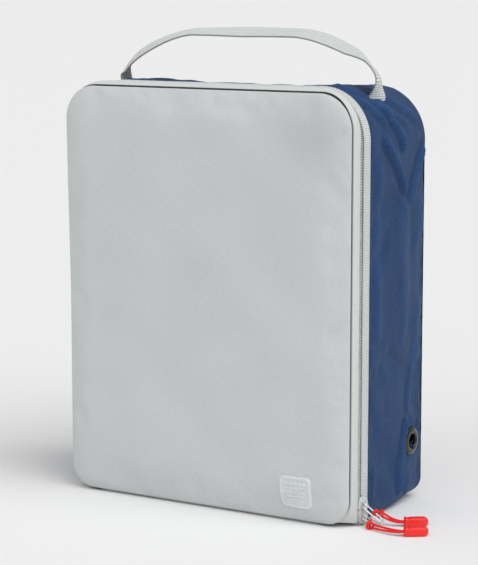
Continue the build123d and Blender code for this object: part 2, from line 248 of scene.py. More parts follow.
GREY = rgb(199, 202, 203)
STRIP_GREY = rgb(206, 210, 209)
BLUE = rgb(37, 70, 114)
DARK = rgb(52, 54, 60)
RED = rgb(238, 38, 30)
MAT = {
    "grey": fabric("grey_cloth", GREY, "brushed", 0.45, 0.05, 0.12, 0.15, 0.9),
    "strip": fabric("strip_cloth", STRIP_GREY, "brushed", 0.45, 0.04, 0.1, 0.15, 0.9),
    "blue": fabric("blue_cloth", BLUE, "plain", 0.6, 0.3, 0.16, 0.05, 0.66, 0.2),
    "lining": fabric("lining_cloth", DARK, "twill", 0.8, 0.12, 0.1, 0.1, 0.8),
    "binding": fabric("binding_tape", rgb(44, 46, 52), "ribs", 0.9, 0.1, 0.12, 0.1, 0.85),
    "tape": fabric("zip_tape", rgb(232, 236, 236), "twill", 0.7, 0.06, 0.1, 0.1, 0.85),
    "webbing": fabric("webbing", rgb(240, 245, 243), "plain", 0.4, 0.1, 0.12, 0.1, 0.85),
    "thread": moulded("thread", rgb(205, 209, 209), 0.6),
    "navy_thread": moulded("navy_thread", rgb(58, 92, 142), 0.6),
    "coil": moulded("zip_coil", rgb(206, 211, 210), 0.4),
    "eyelet": moulded("gunmetal", rgb(58, 56, 54), 0.22, 0.7, 0.3, 300.0, 0.2),
    "enamel": moulded("grey_enamel", rgb(204, 212, 210), 0.32, 0.25, 0.2, 300.0, 0.08),
    "wire": moulded("wire_metal", rgb(214, 220, 220), 0.3, 0.4, 0.1, 300.0, 0.08),
    "cord": braid("red_braid", RED),
    "rubber": moulded("red_rubber", RED, 0.4, 0.0, 0.05, 500.0, 0.05),
    "badge": moulded("badge_rubber", rgb(212, 216, 217), 0.5, 0.0, 0.0, 600.0, 0.04),
    "board": moulded("board", rgb(48, 48, 50), 0.8),
}


# ---------------------------------------------------------------- mesh helpers

def smooth(share):
    share = np.clip(share, 0.0, 1.0)
    return share * share * (3 - 2 * share)


def ripple(u, v, seed, pitch, count=9):
    """Smooth irregular waves from -1 to 1: the same for the same seed."""
    random = np.random.default_rng(seed)
    total = np.zeros(np.broadcast(u, v).shape)
    for _ in range(count):
        angle = random.uniform(0, math.pi)
        length = pitch * random.uniform(0.6, 1.8)
        phase = random.uniform(0, 2 * math.pi)
        total = total + np.sin(2 * math.pi * (u * math.cos(angle) + v * math.sin(angle)) / length + phase)
    return total / math.sqrt(count) / 1.6


def settle(points):
    """The left side leans in below the top corner and the top sinks at the back, as the soft body stands."""
    points = np.array(points, float)
    rear = smooth((points[..., 1] + 50) / 70) * smooth((points[..., 2] - 290) / 60)
    points[..., 2] += RISE * smooth((points[..., 2] - 180) / 170)
    points[..., 2] -= DROOP * rear * (1 - 0.75 * smooth((np.abs(points[..., 0]) - 70) / 45))
    below = smooth((TOP - 16 - points[..., 2]) / 190)
    points[..., 0] += LEAN * below * np.clip(-points[..., 0] / HALF, 0, 1)
    return points


def make(name, points, faces, cloth=None, settled=True, solid=False):
    """A mesh object from millimetre points. cloth is one (u, v, shade) per point, u and v in mm."""
    points = np.asarray(points, float).reshape(-1, 3)
    if settled:
        points = settle(points)
    mesh = bpy.data.meshes.new(name)
    mesh.from_pydata((points * MM).tolist(), [], faces)
    if cloth is not None:
        values = np.array(cloth, float).reshape(-1, 3) * (MM, MM, 1.0)
        attribute = mesh.attributes.new("cloth", "FLOAT_VECTOR", "POINT")
        attribute.data.foreach_set("vector", values.astype(np.float32).ravel())
    if solid:
        shape = bmesh.new()
        shape.from_mesh(mesh)
        bmesh.ops.recalc_face_normals(shape, faces=shape.faces)
        shape.to_mesh(mesh)
        shape.free()
    mesh.polygons.foreach_set("use_smooth", [True] * len(mesh.polygons))
    mesh.update()
    obj = bpy.data.objects.new(name, mesh)
    bpy.context.scene.collection.objects.link(obj)
    return obj


def piece(obj, material, slot, body, *nodes):
    obj.data.materials.clear()
    obj.data.materials.append(MAT[material])
    if body:
        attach(obj, body)
    if nodes:
        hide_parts(*nodes)
    return obj


def normals(grid, closed=False):
    """The unit normal at each point of a grid of points; closed says that its columns meet."""
    if closed:
        across = np.roll(grid, -1, 1) - np.roll(grid, 1, 1)
    else:
        across = np.gradient(grid, axis=1)
    along = np.gradient(grid, axis=0)
    normal = np.cross(along, across)
    return normal / np.maximum(np.linalg.norm(normal, axis=-1, keepdims=True), 1e-9)


def grid_faces(rows, columns, closed=False, skip=None):
    faces = []
    for row in range(rows - 1):
        for column in range(columns if closed else columns - 1):
            if skip is not None and skip[row, column]:
                continue
            after = (column + 1) % columns
            faces.append((
                row * columns + column, row * columns + after,
                (row + 1) * columns + after, (row + 1) * columns + column,
            ))
    return faces


def sheet(name, grid, cloth, thickness, closed=False, skip=None, flip=False, settled=True):
    """Cloth of a given thickness from a grid of points on its outside."""
    rows, columns = grid.shape[:2]
    normal = normals(grid, closed)
    if flip:
        normal = -normal
    inner = grid - normal * thickness
    faces = grid_faces(rows, columns, closed, skip)
    if not flip:
        faces = [face[::-1] for face in faces]
    shift = rows * columns
    edges = {(face[k], face[(k + 1) % 4]) for face in faces for k in range(4)}
    rims = [(b, a, a + shift, b + shift) for a, b in sorted(edges) if (b, a) not in edges]
    faces = faces + [tuple(index + shift for index in face[::-1]) for face in faces] + rims
    points = np.concatenate([grid.reshape(-1, 3), inner.reshape(-1, 3)])
    both = np.concatenate([cloth.reshape(-1, 3)] * 2)
    if skip is not None:
        used = np.zeros(len(points), bool)
        used[np.array(faces).ravel()] = True
        renumber = np.cumsum(used) - 1
        faces = [tuple(int(renumber[index]) for index in face) for face in faces]
        points = points[used]
        both = both[used]
    return make(name, points, faces, both, settled)


def spline_matrix(count, factor, closed):
    """Rows of Catmull-Rom weights that turn count values into finer ones."""
    total = count * factor if closed else (count - 1) * factor + 1
    matrix = np.zeros((total, count))
    for row in range(total):
        base, step = divmod(row, factor)
        x = step / factor
        weights = (
            (-x + 2 * x * x - x ** 3) / 2, (2 - 5 * x * x + 3 * x ** 3) / 2,
            (x + 4 * x * x - 3 * x ** 3) / 2, (-x * x + x ** 3) / 2,
        )
        for offset, weight in zip((-1, 0, 1, 2), weights):
            index = base + offset
            index = index % count if closed else min(max(index, 0), count - 1)
            matrix[row, index] += weight
    return matrix


def finer(field, factor, closed=False):
    """A coarse grid of vectors as a grid factor times as fine."""
    rows = spline_matrix(field.shape[0], factor, False)
    columns = spline_matrix(field.shape[1], factor, closed)
    return np.einsum("ri,cj,ijk->rck", rows, columns, field)


def resample(profile, count):
    """Points along a smooth line through the profile's points, evenly spread."""
    profile = np.array(profile, float)
    matrix = spline_matrix(len(profile), 12, False)
    dense = matrix @ profile
    steps = np.concatenate([[0], np.cumsum(np.linalg.norm(np.diff(dense, axis=0), axis=1))])
    wanted = np.linspace(0, steps[-1], count)
    return np.stack([np.interp(wanted, steps, dense[:, k]) for k in range(dense.shape[1])], 1), wanted


def relax(grid, pinned, pressure, slack, cap, closed=False, bend=0.5, frames=20):
    """Cloth simulation on every second point of a grid; gives how far each point of the grid moves."""
    coarse = grid[::2, ::2]
    pins = pinned[::2, ::2]
    rows, columns = coarse.shape[:2]
    cloth = make("relaxing", coarse, grid_faces(rows, columns, closed), settled=False)
    group = cloth.vertex_groups.new(name="pin")
    for index, weight in enumerate(pins.ravel()):
        if weight > 0:
            group.add([index], float(weight), "REPLACE")
    modifier = cloth.modifiers.new("Cloth", "CLOTH")
    settings = modifier.settings
    settings.quality = 5
    settings.mass = 0.15
    settings.tension_stiffness = 15
    settings.compression_stiffness = 15
    settings.shear_stiffness = 5
    settings.bending_stiffness = bend
    settings.vertex_group_mass = "pin"
    settings.use_pressure = True
    settings.uniform_pressure_force = pressure
    settings.shrink_min = -slack
    settings.effector_weights.gravity = 0
    modifier.collision_settings.use_collision = False
    modifier.point_cache.frame_start = 1
    modifier.point_cache.frame_end = frames
    scene = bpy.context.scene
    for number in range(1, frames + 1):
        scene.frame_set(number)
    evaluated = cloth.evaluated_get(bpy.context.evaluated_depsgraph_get())
    places = np.zeros(len(evaluated.data.vertices) * 3)
    evaluated.data.vertices.foreach_get("co", places)
    moved = places.reshape(rows, columns, 3) / MM - coarse
    mesh = cloth.data
    bpy.data.objects.remove(cloth)
    bpy.data.meshes.remove(mesh)
    scene.frame_set(1)
    length = np.linalg.norm(moved, axis=-1, keepdims=True)
    moved = moved * cap * np.tanh(length / cap) / np.maximum(length, 1e-9)
    return finer(moved, 2, closed)


def tube(name, path, radius, sides=16, closed=False, settled=False):
    """A round tube along points. radius may be one value per point."""
    path = np.array(path, float)
    count = len(path)
    radius = np.broadcast_to(np.asarray(radius, float), (count,))
    if closed:
        tangent = np.roll(path, -1, 0) - np.roll(path, 1, 0)
    else:
        tangent = np.gradient(path, axis=0)
    tangent /= np.linalg.norm(tangent, axis=1, keepdims=True)
    side = np.cross(tangent[0], (0.31, 0.52, 0.79))
    points = []
    for index in range(count):
        side = side - tangent[index] * np.dot(side, tangent[index])
        side = side / np.linalg.norm(side)
        other = np.cross(tangent[index], side)
        for step in range(sides):
            angle = 2 * math.pi * step / sides
            out = side * math.cos(angle) + other * math.sin(angle)
            points.append(path[index] + out * radius[index])
    faces = []
    for ring in range(count if closed else count - 1):
        for step in range(sides):
            after = (step + 1) % sides
            here = ring * sides
            there = ((ring + 1) % count) * sides
            faces.append((here + step, here + after, there + after, there + step))
    if not closed:
        faces.append(tuple(range(sides))[::-1])
        faces.append(tuple((count - 1) * sides + step for step in range(sides)))
    return make(name, points, faces, settled=settled)


def stamp(name, points, faces, places, settled=True):
    """Copies of one small shape, joined. Each place is (origin, x axis, y axis, z axis)."""
    template = np.array(points, float)
    all_points = []
    all_faces = []
    for number, (origin, x_axis, y_axis, z_axis) in enumerate(places):
        axes = np.array([x_axis, y_axis, z_axis], float)
        all_points.append(np.array(origin) + template @ axes)
        shift = number * len(template)
        all_faces += [tuple(index + shift for index in face) for face in faces]
    return make(name, np.concatenate(all_points), all_faces, settled=settled)


def capsule(length, radius, flatten=1.0, sides=6):
    """A stitch or tooth along x: rings of points and their faces."""
    stations = ((-0.5, 0.35), (-0.38, 0.85), (0.0, 1.0), (0.38, 0.85), (0.5, 0.35))
    points = []
    for along, share in stations:
        for step in range(sides):
            angle = 2 * math.pi * (step + 0.5) / sides
            points.append((
                along * length, math.cos(angle) * radius * share, math.sin(angle) * radius * share * flatten,
            ))
    faces = []
    for ring in range(len(stations) - 1):
        for step in range(sides):
            after = (step + 1) % sides
            here, there = ring * sides, (ring + 1) * sides
            faces.append((here + step, here + after, there + after, there + step))
    faces.append(tuple(range(sides))[::-1])
    faces.append(tuple((len(stations) - 1) * sides + step for step in range(sides)))
    return points, faces


def lathe(name, profile, centre, side, segments=72):
    """A profile of (radius, height) turned round the X axis through centre; side is the way it faces."""
    points = []
    for radius, height in profile:
        for step in range(segments):
            angle = 2 * math.pi * step / segments
            points.append((
                centre[0] + side * height,
                centre[1] + radius * math.cos(angle), centre[2] + radius * math.sin(angle),
            ))
    faces = []
    count = len(profile)
    for ring in range(count):
        for step in range(segments):
            after = (step + 1) % segments
            here, there = ring * segments, (ring + 1) % count * segments
            face = (here + step, there + step, there + after, here + after)
            faces.append(face if side > 0 else face[::-1])
    return make(name, points, faces)


def prism(name, outline, x_low, x_high, bevel=0.3):
    """A plate with the (y, z) outline given, from x_low to x_high, its edges rounded."""
    count = len(outline)
    points = [(x, y, z) for x in (x_low, x_high) for y, z in outline]
    faces = [tuple(range(count))[::-1], tuple(range(count, 2 * count))]
    faces += [(k, (k + 1) % count, (k + 1) % count + count, k + count) for k in range(count)]
    obj = make(name, points, faces, settled=False)
    shape = bmesh.new()
    shape.from_mesh(obj.data)
    bmesh.ops.recalc_face_normals(shape, faces=shape.faces)
    bmesh.ops.bevel(shape, geom=shape.edges, offset=bevel * MM, segments=3, affect="EDGES", profile=0.6)
    shape.to_mesh(obj.data)
    shape.free()
    obj.data.polygons.foreach_set("use_smooth", [True] * len(obj.data.polygons))
    return obj


def join(name, objects):
    """Several new objects as one."""
    shape = bmesh.new()
    for obj in objects:
        shape.from_mesh(obj.data)
        mesh = obj.data
        bpy.data.objects.remove(obj)
        bpy.data.meshes.remove(mesh)
    mesh = bpy.data.meshes.new(name)
    shape.to_mesh(mesh)
    shape.free()
    mesh.polygons.foreach_set("use_smooth", [True] * len(mesh.polygons))
    obj = bpy.data.objects.new(name, mesh)
    bpy.context.scene.collection.objects.link(obj)
    return obj


# ---------------------------------------------------------------- lines of the body

def top_radius_at(y):
    """The top corners: tight at the front seam, rounder at the zip and roundest at the back."""
    y = np.asarray(y, float)
    at_zip = FRONT_TOP_RADIUS + (ZIP_TOP_RADIUS - FRONT_TOP_RADIUS) * smooth((y - SEAM_Y - 2) / 18)
    return at_zip + (BACK_TOP_RADIUS - ZIP_TOP_RADIUS) * smooth((y - TAPE_Y) / (BACK_Y - TAPE_Y))


def low_radius_at(y):
    """The lower corners too: tight at the zip, and round at the back."""
    front_part = 3.0 + (LOW_RADIUS - 3.0) * smooth((np.asarray(y) - TAPE_Y) / 16)
    return front_part + (BACK_LOW_RADIUS - LOW_RADIUS) * smooth((np.asarray(y) - 5) / 50)


def arch_at(along, y, inset):
    """Points and outward directions on the arch over both sides and the top.

    along is the distance from the floor up the right side, over the top and down the left side.
    """
    along = np.asarray(along, float)
    top_radius = float(top_radius_at(y))
    mirrored = along > ARCH_LENGTH / 2
    way = np.where(mirrored, ARCH_LENGTH - along, along)
    angle = np.clip((way - ARCH_SIDE) / TOP_RADIUS, 0, math.pi / 2)
    over = np.maximum(way - ARCH_SIDE - ARCH_CORNER, 0) * (HALF - top_radius) / (HALF - TOP_RADIUS)
    radius = top_radius - inset
    x = HALF - top_radius + radius * np.cos(angle) - over
    z = np.minimum(way, ARCH_SIDE) * (TOP - top_radius) / ARCH_SIDE + radius * np.sin(angle)
    sign = np.where(mirrored, -1.0, 1.0)
    outward = np.stack([sign * np.cos(angle), np.sin(angle)], -1)
    return np.stack([sign * x, z], -1), outward


LOOP_STEPS = (46, 10, 124, 26, 42)


def loop(inset, bottom, low_radius, top_radius=TOP_RADIUS, drop=0.0):
    """The closed outline seen from the front: (x, z) from the middle of the bottom round by the right."""
    flat, corner, side, shoulder, top = LOOP_STEPS
    small = max(low_radius - inset, 0.3)
    large = top_radius - inset
    right = HALF - inset
    base = bottom + inset
    roof = TOP - inset - drop
    turn = np.linspace(0, math.pi / 2, corner, endpoint=False)
    rise = np.linspace(0, math.pi / 2, shoulder, endpoint=False)
    x = np.concatenate([
        np.linspace(0, right - small, flat, endpoint=False), right - small + small * np.sin(turn),
        np.full(side, right), right - large + large * np.cos(rise), np.linspace(right - large, 0, top + 1),
    ])
    z = np.concatenate([
        np.full(flat, base), base + small - small * np.cos(turn),
        np.linspace(base + small, roof - large, side, endpoint=False), roof - large + large * np.sin(rise),
        np.full(top + 1, roof),
    ])
    return np.stack([np.concatenate([x, -x[-2:0:-1]]), np.concatenate([z, z[-2:0:-1]])], -1)


NOMINAL = loop(0.0, 0.0, LOW_RADIUS)
STEP_LENGTHS = np.linalg.norm(np.roll(NOMINAL, -1, 0) - NOMINAL, axis=1)
AROUND = np.concatenate([[0], np.cumsum(STEP_LENGTHS)[:-1]])
AROUND = AROUND - AROUND[LOOP_STEPS[0] + LOOP_STEPS[1]] + LOW_RADIUS


def arch_sheet(
    name, profile, rows, thickness, start=FLAP_Z, end=None, pitch=1.8, shade=1.0, wobble=0.0,
    rib=0.0, rib_pitch=1.4,
):
    """Cloth that follows the arch: profile is a line of (y, inset) points across it."""
    across, widths = resample(profile, rows)
    end = ARCH_LENGTH - start if end is None else end
    along = np.linspace(start, end, int((end - start) / pitch) + 1)
    wave = 0.5 - 0.5 * np.cos(2 * math.pi * along / rib_pitch)
    grid = np.zeros((rows, len(along), 3))
    for row, (y, inset) in enumerate(across):
        drift = wobble * ripple(along, y, 5, 60) + rib * (wave - 1)
        flat_points, _ = arch_at(along, y, inset - drift)
        grid[row, :, 0] = flat_points[:, 0]
        grid[row, :, 1] = y
        grid[row, :, 2] = flat_points[:, 1]
    cloth = np.zeros_like(grid)
    cloth[..., 0] = along[None, :]
    cloth[..., 1] = widths[:, None]
    # Painted shade: the colour is multiplied by shade, and where there are ribs it is darker in the hollows
    # between them.
    cloth[..., 2] = shade * (1 - (0.42 if rib else 0.0) * (1 - wave))[None, :]
    return sheet(name, grid, cloth, thickness)


def arch_places(y, inset, start, end, pitch):
    """Places for stitches or teeth: x axis along the arch, y axis across it, z axis outward."""
    along = np.arange(start, end, pitch)
    flat_points, outward = arch_at(along, y, inset)
    places = []
    for (x, z), (out_x, out_z) in zip(flat_points, outward):
        places.append(((x, y, z), (-out_z, 0, out_x), (0, -1, 0), (out_x, 0, out_z)))
    return places


# ---------------------------------------------------------------- padded covers

def edge_steps(reach, first=0.6, growth=1.14, widest=2.4):
    """Distances from an edge to the middle: fine at the edge, even further in. An odd grid in the end."""
    steps = [0.0]
    size = first
    while steps[-1] + size < reach:
        steps.append(steps[-1] + size)
        size = min(size * growth, widest)
    steps = np.array(steps)
    return steps * (reach / steps[-1])


SEAM_TUCK = 1.2


def cover_grid(profile, bottom, low_radius, top, top_radius, seam_y, outward):
    """A padded panel's grid. profile is a line of (inset, depth) points from the seam inward."""
    line, lengths = resample(profile, 160)
    offset = lengths[-1] - line[-1, 0]

    def inset_at(distance):
        return np.where(distance > lengths[-1], distance - offset, np.interp(distance, lengths, line[:, 0]))

    def depth_at(distance):
        return np.interp(distance, lengths, line[:, 1])

    def spread(length):
        half = edge_steps(length / 2 + offset)
        full = 2 * half[-1]
        return np.concatenate([half, full - half[-2::-1]]), full

    columns, width = spread(2 * HALF)
    rows, height = spread(top - bottom)
    u, v = np.meshgrid(columns, rows)
    side = np.minimum(u, width - u)
    upper = v > height / 2
    edge = np.where(upper, height - v, v)
    radius = np.where(upper, top_radius, low_radius)
    reach = radius + offset
    a = np.clip(1 - side / reach, 0, 1)
    b = np.clip(1 - edge / reach, 0, 1)
    corner = (a > 0) & (b > 0)
    share = np.maximum(a, b)
    safe = np.maximum(share, 1e-9)
    angle = np.where(a >= b, math.pi / 4 * b / safe, math.pi / 2 - math.pi / 4 * a / safe)
    distance = np.where(corner, reach * (1 - share), np.minimum(side, edge))
    spin = radius - inset_at(reach * (1 - share))
    x = np.where(corner, HALF - radius + spin * np.cos(angle), HALF - inset_at(side))
    middle = (top + bottom) / 2
    half_height = (top - bottom) / 2
    z = np.where(corner, half_height - radius + spin * np.sin(angle), half_height - inset_at(edge))
    x = np.where(u < width / 2, -x, x)
    z = np.where(upper, middle + z, middle - z)
    depth = depth_at(distance)
    grid = np.stack([x, seam_y + outward * depth, z], -1)
    # Painted shade: the colour factor drops to 0.35 where the cloth tucks into its seam, a dark line painted
    # in the seam's groove.
    cloth = np.stack([u, v, 0.35 + 0.65 * smooth((distance - SEAM_TUCK) / 1.2)], -1)
    return grid, cloth, distance


def dent(x, z, place, size, depth, angle=0.0):
    """A soft hollow or rise: an oval of the given half sizes."""
    turn = math.radians(angle)
    along = (x - place[0]) * math.cos(turn) + (z - place[1]) * math.sin(turn)
    across = -(x - place[0]) * math.sin(turn) + (z - place[1]) * math.cos(turn)
    return depth * np.exp(-(along / size[0]) ** 2 - (across / size[1]) ** 2)


FRONT_PROFILE = [
    (2.4, -0.6), (1.5, 0.0), (1.0, 0.8), (0.9, 1.9), (2.5, 3.6), (5.0, 4.9),
    (9.0, 6.0), (15.0, 6.8), (24.0, 7.3), (40.0, 7.6), (60.0, 7.7),
]
FRONT_DENTS = [
    ((118.0, 24.0), (26.0, 5.0), -1.1, 4.0),
    ((60.0, 14.0), (60.0, 6.0), -0.9, 0.0),
    ((-60.0, 16.0), (60.0, 7.0), -0.8, 0.0),
    ((0.0, 338.0), (90.0, 6.0), -0.5, 0.0),
    ((-100.0, 120.0), (14.0, 70.0), -0.5, 4.0),
    ((20.0, 200.0), (60.0, 60.0), 0.8, 0.0),
]
front, front_cloth, front_edge = cover_grid(
    FRONT_PROFILE, FLAP_Z - 1.5, PANEL_RADIUS, TOP - FRONT_DROP, FRONT_TOP_RADIUS, SEAM_Y, -1
)
inside = smooth((front_edge - 2) / 14)
lift = 0.35 * inside * ripple(front[..., 0], front[..., 2], 11, 90)
for place, size, depth, angle in FRONT_DENTS:
    lift = lift + inside * dent(front[..., 0], front[..., 2], place, size, depth, angle)
lift = lift - 1.6 * smooth((46 - front[..., 2]) / 46) * smooth(front_edge / 6)
front[..., 1] -= lift
held = np.clip(1 - (front_edge - 1.5) / 3, 0, 1)
front = front + relax(front, held, 0.6, 0.004, 2.0)
front_cloth[..., 2] *= 1 + 0.02 * ripple(front[..., 0], front[..., 2], 71, 60)
# Painted shade: a darker patch on the front's top right, where the curved cloth turns from the light.
front_cloth[..., 2] *= 1 - dent(front[..., 0], front[..., 2], (112.0, 322.0), (30.0, 26.0), 0.09)
# The painted seam shade is made lighter along the middle of the top edge.
top_seam_shade_lifted = smooth((front[..., 2] - TOP + 20) / 8) * smooth((100 - front[..., 0]) / 30)
top_seam_shade_lifted = top_seam_shade_lifted * smooth((front[..., 0] + 115) / 40)
front_cloth[..., 2] = np.maximum(front_cloth[..., 2], 0.75 * top_seam_shade_lifted)
front_cover = sheet("front_cover", front, front_cloth, 0.9, flip=True)
piece(front_cover, "grey", "grey_fabric", "flap", "front_panel", "front_foam")

BACK_PROFILE = [
    (2.0, -0.4), (0.8, -0.2), (0.35, 0.5), (0.9, 1.3), (3.0, 2.1),
    (7.0, 2.8), (14.0, 3.3), (30.0, 3.7), (50.0, 3.8),
]
BACK_PROFILE = [(inset + BACK_TAPER, depth) for inset, depth in BACK_PROFILE]
back, back_cloth, back_edge = cover_grid(BACK_PROFILE, 0.0, BACK_LOW_RADIUS, TOP, BACK_TOP_RADIUS, BACK_Y, 1)
inside = smooth((back_edge - 2) / 16)
back[..., 1] += inside * 0.5 * ripple(back[..., 0], back[..., 2], 23, 80)
held = np.clip(1 - (back_edge - 1.5) / 3, 0, 1)
back = back + relax(back, held, -0.6, 0.006, 2.0)
back_cloth[..., 2] = 1.0
back_cover = sheet("back_cover", back, back_cloth, 0.9)
piece(back_cover, "blue", "blue_fabric", "bag", "back_panel", "back_foam")


# ---------------------------------------------------------------- the blue gusset

def fold(y, along, points, height, width):
    """A crease on the cloth: a ridge along the points, with a hollow on its lower side."""
    shape = np.broadcast(y, along).shape
    nearest = np.full(shape, 1e6)
    ridge = np.zeros(shape)
    for (y0, t0), (y1, t1) in zip(points, points[1:]):
        dy, dt = y1 - y0, t1 - t0
        length = math.hypot(dy, dt)
        share = ((y - y0) * dy + (along - t0) * dt) / length ** 2
        near = np.clip(share, 0, 1)
        off = ((y - y0) * dt - (along - t0) * dy) / length
        away = np.hypot(y - y0 - near * dy, along - t0 - near * dt)
        past = (away ** 2 - off ** 2).clip(0)
        crest = np.exp(-(away / width) ** 2)
        hollow = np.exp(-((off - 1.7 * width) ** 2 + past) / (1.3 * width) ** 2)
        closer = away < nearest
        ridge = np.where(closer, crest - 0.55 * hollow, ridge)
        nearest = np.where(closer, away, nearest)
    return height * ridge


GUSSET_FOLDS = [
    ([(-6.0, 346.0), (4.0, 336.0), (15.0, 324.0), (17.0, 317.0)], 1.7, 2.4),
    ([(-12.0, 322.0), (-2.0, 311.0), (8.0, 300.0), (22.0, 281.0)], 1.5, 2.6),
    ([(60.0, 315.0), (50.0, 299.0), (38.0, 281.0), (32.0, 270.0)], 1.5, 2.8),
    ([(-30.0, 352.0), (-20.0, 344.0), (-8.0, 335.0)], 1.3, 2.2),
    ([(17.0, 352.0), (30.0, 346.0), (46.0, 341.0)], 1.2, 2.4),
    ([(-3.0, 343.0), (12.0, 339.0), (28.0, 334.0)], 1.0, 2.0),
    ([(-25.0, 371.0), (-18.0, 359.0)], 0.9, 2.2),
    ([(23.0, 268.0), (21.0, 230.0), (24.0, 185.0), (26.0, 140.0)], 0.8, 8.0),
    ([(52.0, 262.0), (50.0, 200.0), (51.0, 130.0)], 0.8, 7.0),
    ([(30.0, 74.0), (27.0, 62.0), (23.0, 47.0), (20.0, 36.0), (20.0, 16.0)], 1.3, 2.4),
    ([(57.0, 66.0), (58.0, 48.0)], 0.7, 2.2),
    ([(-27.0, 46.0), (-27.5, 22.0)], 0.7, 2.0),
    ([(-22.0, 300.0), (-24.0, 240.0), (-23.0, 160.0)], 0.6, 4.0),
    ([(44.0, 118.0), (36.0, 96.0), (33.0, 84.0)], 0.8, 3.2),
]
FOLD_HEIGHT = 2.3
SINK_LIMIT = -1.1  # the lining lies just under the cloth
FOLD_WIDTH = 1.3
GUSSET_ROWS = 57


def gusset_inset(y):
    """How far the cloth tucks in at its two seams."""
    front_tuck = 1.1 * smooth((TAPE_Y + 1.5 - y) / 3.5)
    back_tuck = 2.0 * smooth((y - BACK_Y + 2.6) / 2.6) + BACK_TAPER * smooth((y - 10) / 55)
    return front_tuck + back_tuck


def gusset_grid():
    first, last = TAPE_Y - 2.0, BACK_Y - 0.2
    middle = np.linspace(first + 2, last - 3, GUSSET_ROWS - 8)
    levels = np.concatenate([np.linspace(first, first + 2, 4, endpoint=False), middle,
                             last - 3 + 3 * np.linspace(0, 1, 5)[1:] ** 0.8])
    grid = np.zeros((len(levels), len(AROUND), 3))
    for row, y in enumerate(levels):
        radius = float(low_radius_at(y))
        points = loop(float(gusset_inset(y)), 0.0, radius, float(top_radius_at(y)))
        grid[row, :, 0] = points[:, 0]
        grid[row, :, 1] = y
        grid[row, :, 2] = points[:, 1]
    return grid, levels


gusset, levels = gusset_grid()
outward = normals(gusset, True)
outward[..., 1] = 0
y_of = levels[:, None]
t_of = AROUND[None, :]
mirror_t = ARCH_LENGTH - t_of
clear = smooth((gusset[..., 2] - 2) / 14)
window = np.sin(math.pi * np.clip((y_of - TAPE_Y) / (BACK_Y - TAPE_Y), 0, 1))
rising = smooth((gusset[..., 2] - 25) / 60) * smooth((330 - gusset[..., 2]) / 60)
on_top = smooth((HALF - 40 - np.abs(gusset[..., 0])) / 30) * (gusset[..., 2] > TOP - 20)
puff = 0.9 * window * rising - 1.6 * window * on_top
wrinkle = 0.34 * ripple(y_of * 1.4, t_of * 0.8, 31, 26) + 0.6 * ripple(y_of, t_of * 0.7, 37, 60)
seam_fade = smooth((y_of - TAPE_Y) / 6) * smooth((BACK_Y - 1 - y_of) / 6)
creases = np.zeros(gusset.shape[:2])
for points, height, width in GUSSET_FOLDS:
    height, width = height * FOLD_HEIGHT, width * FOLD_WIDTH
    creases = creases + fold(y_of, t_of, points, height, width) * seam_fade
    shifted = [(y * 0.9 + 4, t * 0.98 + 3) for y, t in points]
    creases = creases + fold(y_of, mirror_t, shifted, height * 0.8, width * 1.15) * seam_fade
puff = puff + creases
for side in (t_of, mirror_t):
    radius = np.hypot(y_of - EYELET_Y, side - EYELET_Z)
    angle = np.arctan2(side - EYELET_Z, y_of - EYELET_Y)
    seat = smooth((radius - EYELET_RADIUS + 1) / 5)
    puff = puff * seat + 0.5 * np.cos(5 * angle + 1) * np.exp(-((radius - 15) / 5) ** 2)
push = (puff + wrinkle * seam_fade) * clear
gusset = gusset + outward * push[..., None]
pins = np.zeros(gusset.shape[:2])
pins[:3] = 1
pins[-4:] = 1
pins = np.maximum(pins, (gusset[..., 2] < 6) * 1.0)
for side in (t_of, mirror_t):
    pins = np.maximum(pins, (np.hypot(y_of - EYELET_Y, side - EYELET_Z) < EYELET_RADIUS) * 1.0)
# Painted light and shade of the folds: ridges lighter, hollows darker; also random tone, and a little darker
# near the seams.
fold_light_and_tone = np.clip(
    1 + 0.1 * creases + 0.06 * ripple(y_of, t_of * 0.6, 43, 34), 0.66, 1.4
) * (1.0 - 0.08 * (1 - seam_fade))
cloth = np.stack(np.broadcast_arrays(t_of, y_of, fold_light_and_tone), -1)
moved = relax(gusset, pins, -0.25, 0.012, 1.6, True)
moved = moved * clear[..., None]
sunk = SINK_LIMIT - push - (moved * outward).sum(-1)
gusset = gusset + moved + outward * np.maximum(sunk, 0)[..., None]
centre_y = (levels[:-1] + levels[1:])[:, None] / 2
centre_t = (AROUND + np.roll(AROUND, -1))[None, :] / 2
hole = np.hypot(centre_y - EYELET_Y, centre_t - EYELET_Z) < 8.6
hole |= np.hypot(centre_y - EYELET_Y, ARCH_LENGTH - centre_t - EYELET_Z) < 8.6
gusset_cloth = sheet("gusset_cloth", gusset, cloth, 0.8, True, hole)
piece(gusset_cloth, "blue", "blue_fabric", "bag", "side_gusset", "base_panel")

# ---------------------------------------------------------------- strips, tapes and zip

STRIP_PROFILE = [
    (-63.9, 2.8), (-63.9, 1.7), (-63.5, 0.8), (-62.6, 0.1), (-60.5, -0.4), (-57.0, -0.5),
    (-54.5, -0.25), (-53.2, 0.1), (-52.9, 0.7), (-53.4, 1.4),
]


STRIP_START = -62.8
STRIP_ROLL = 8.5


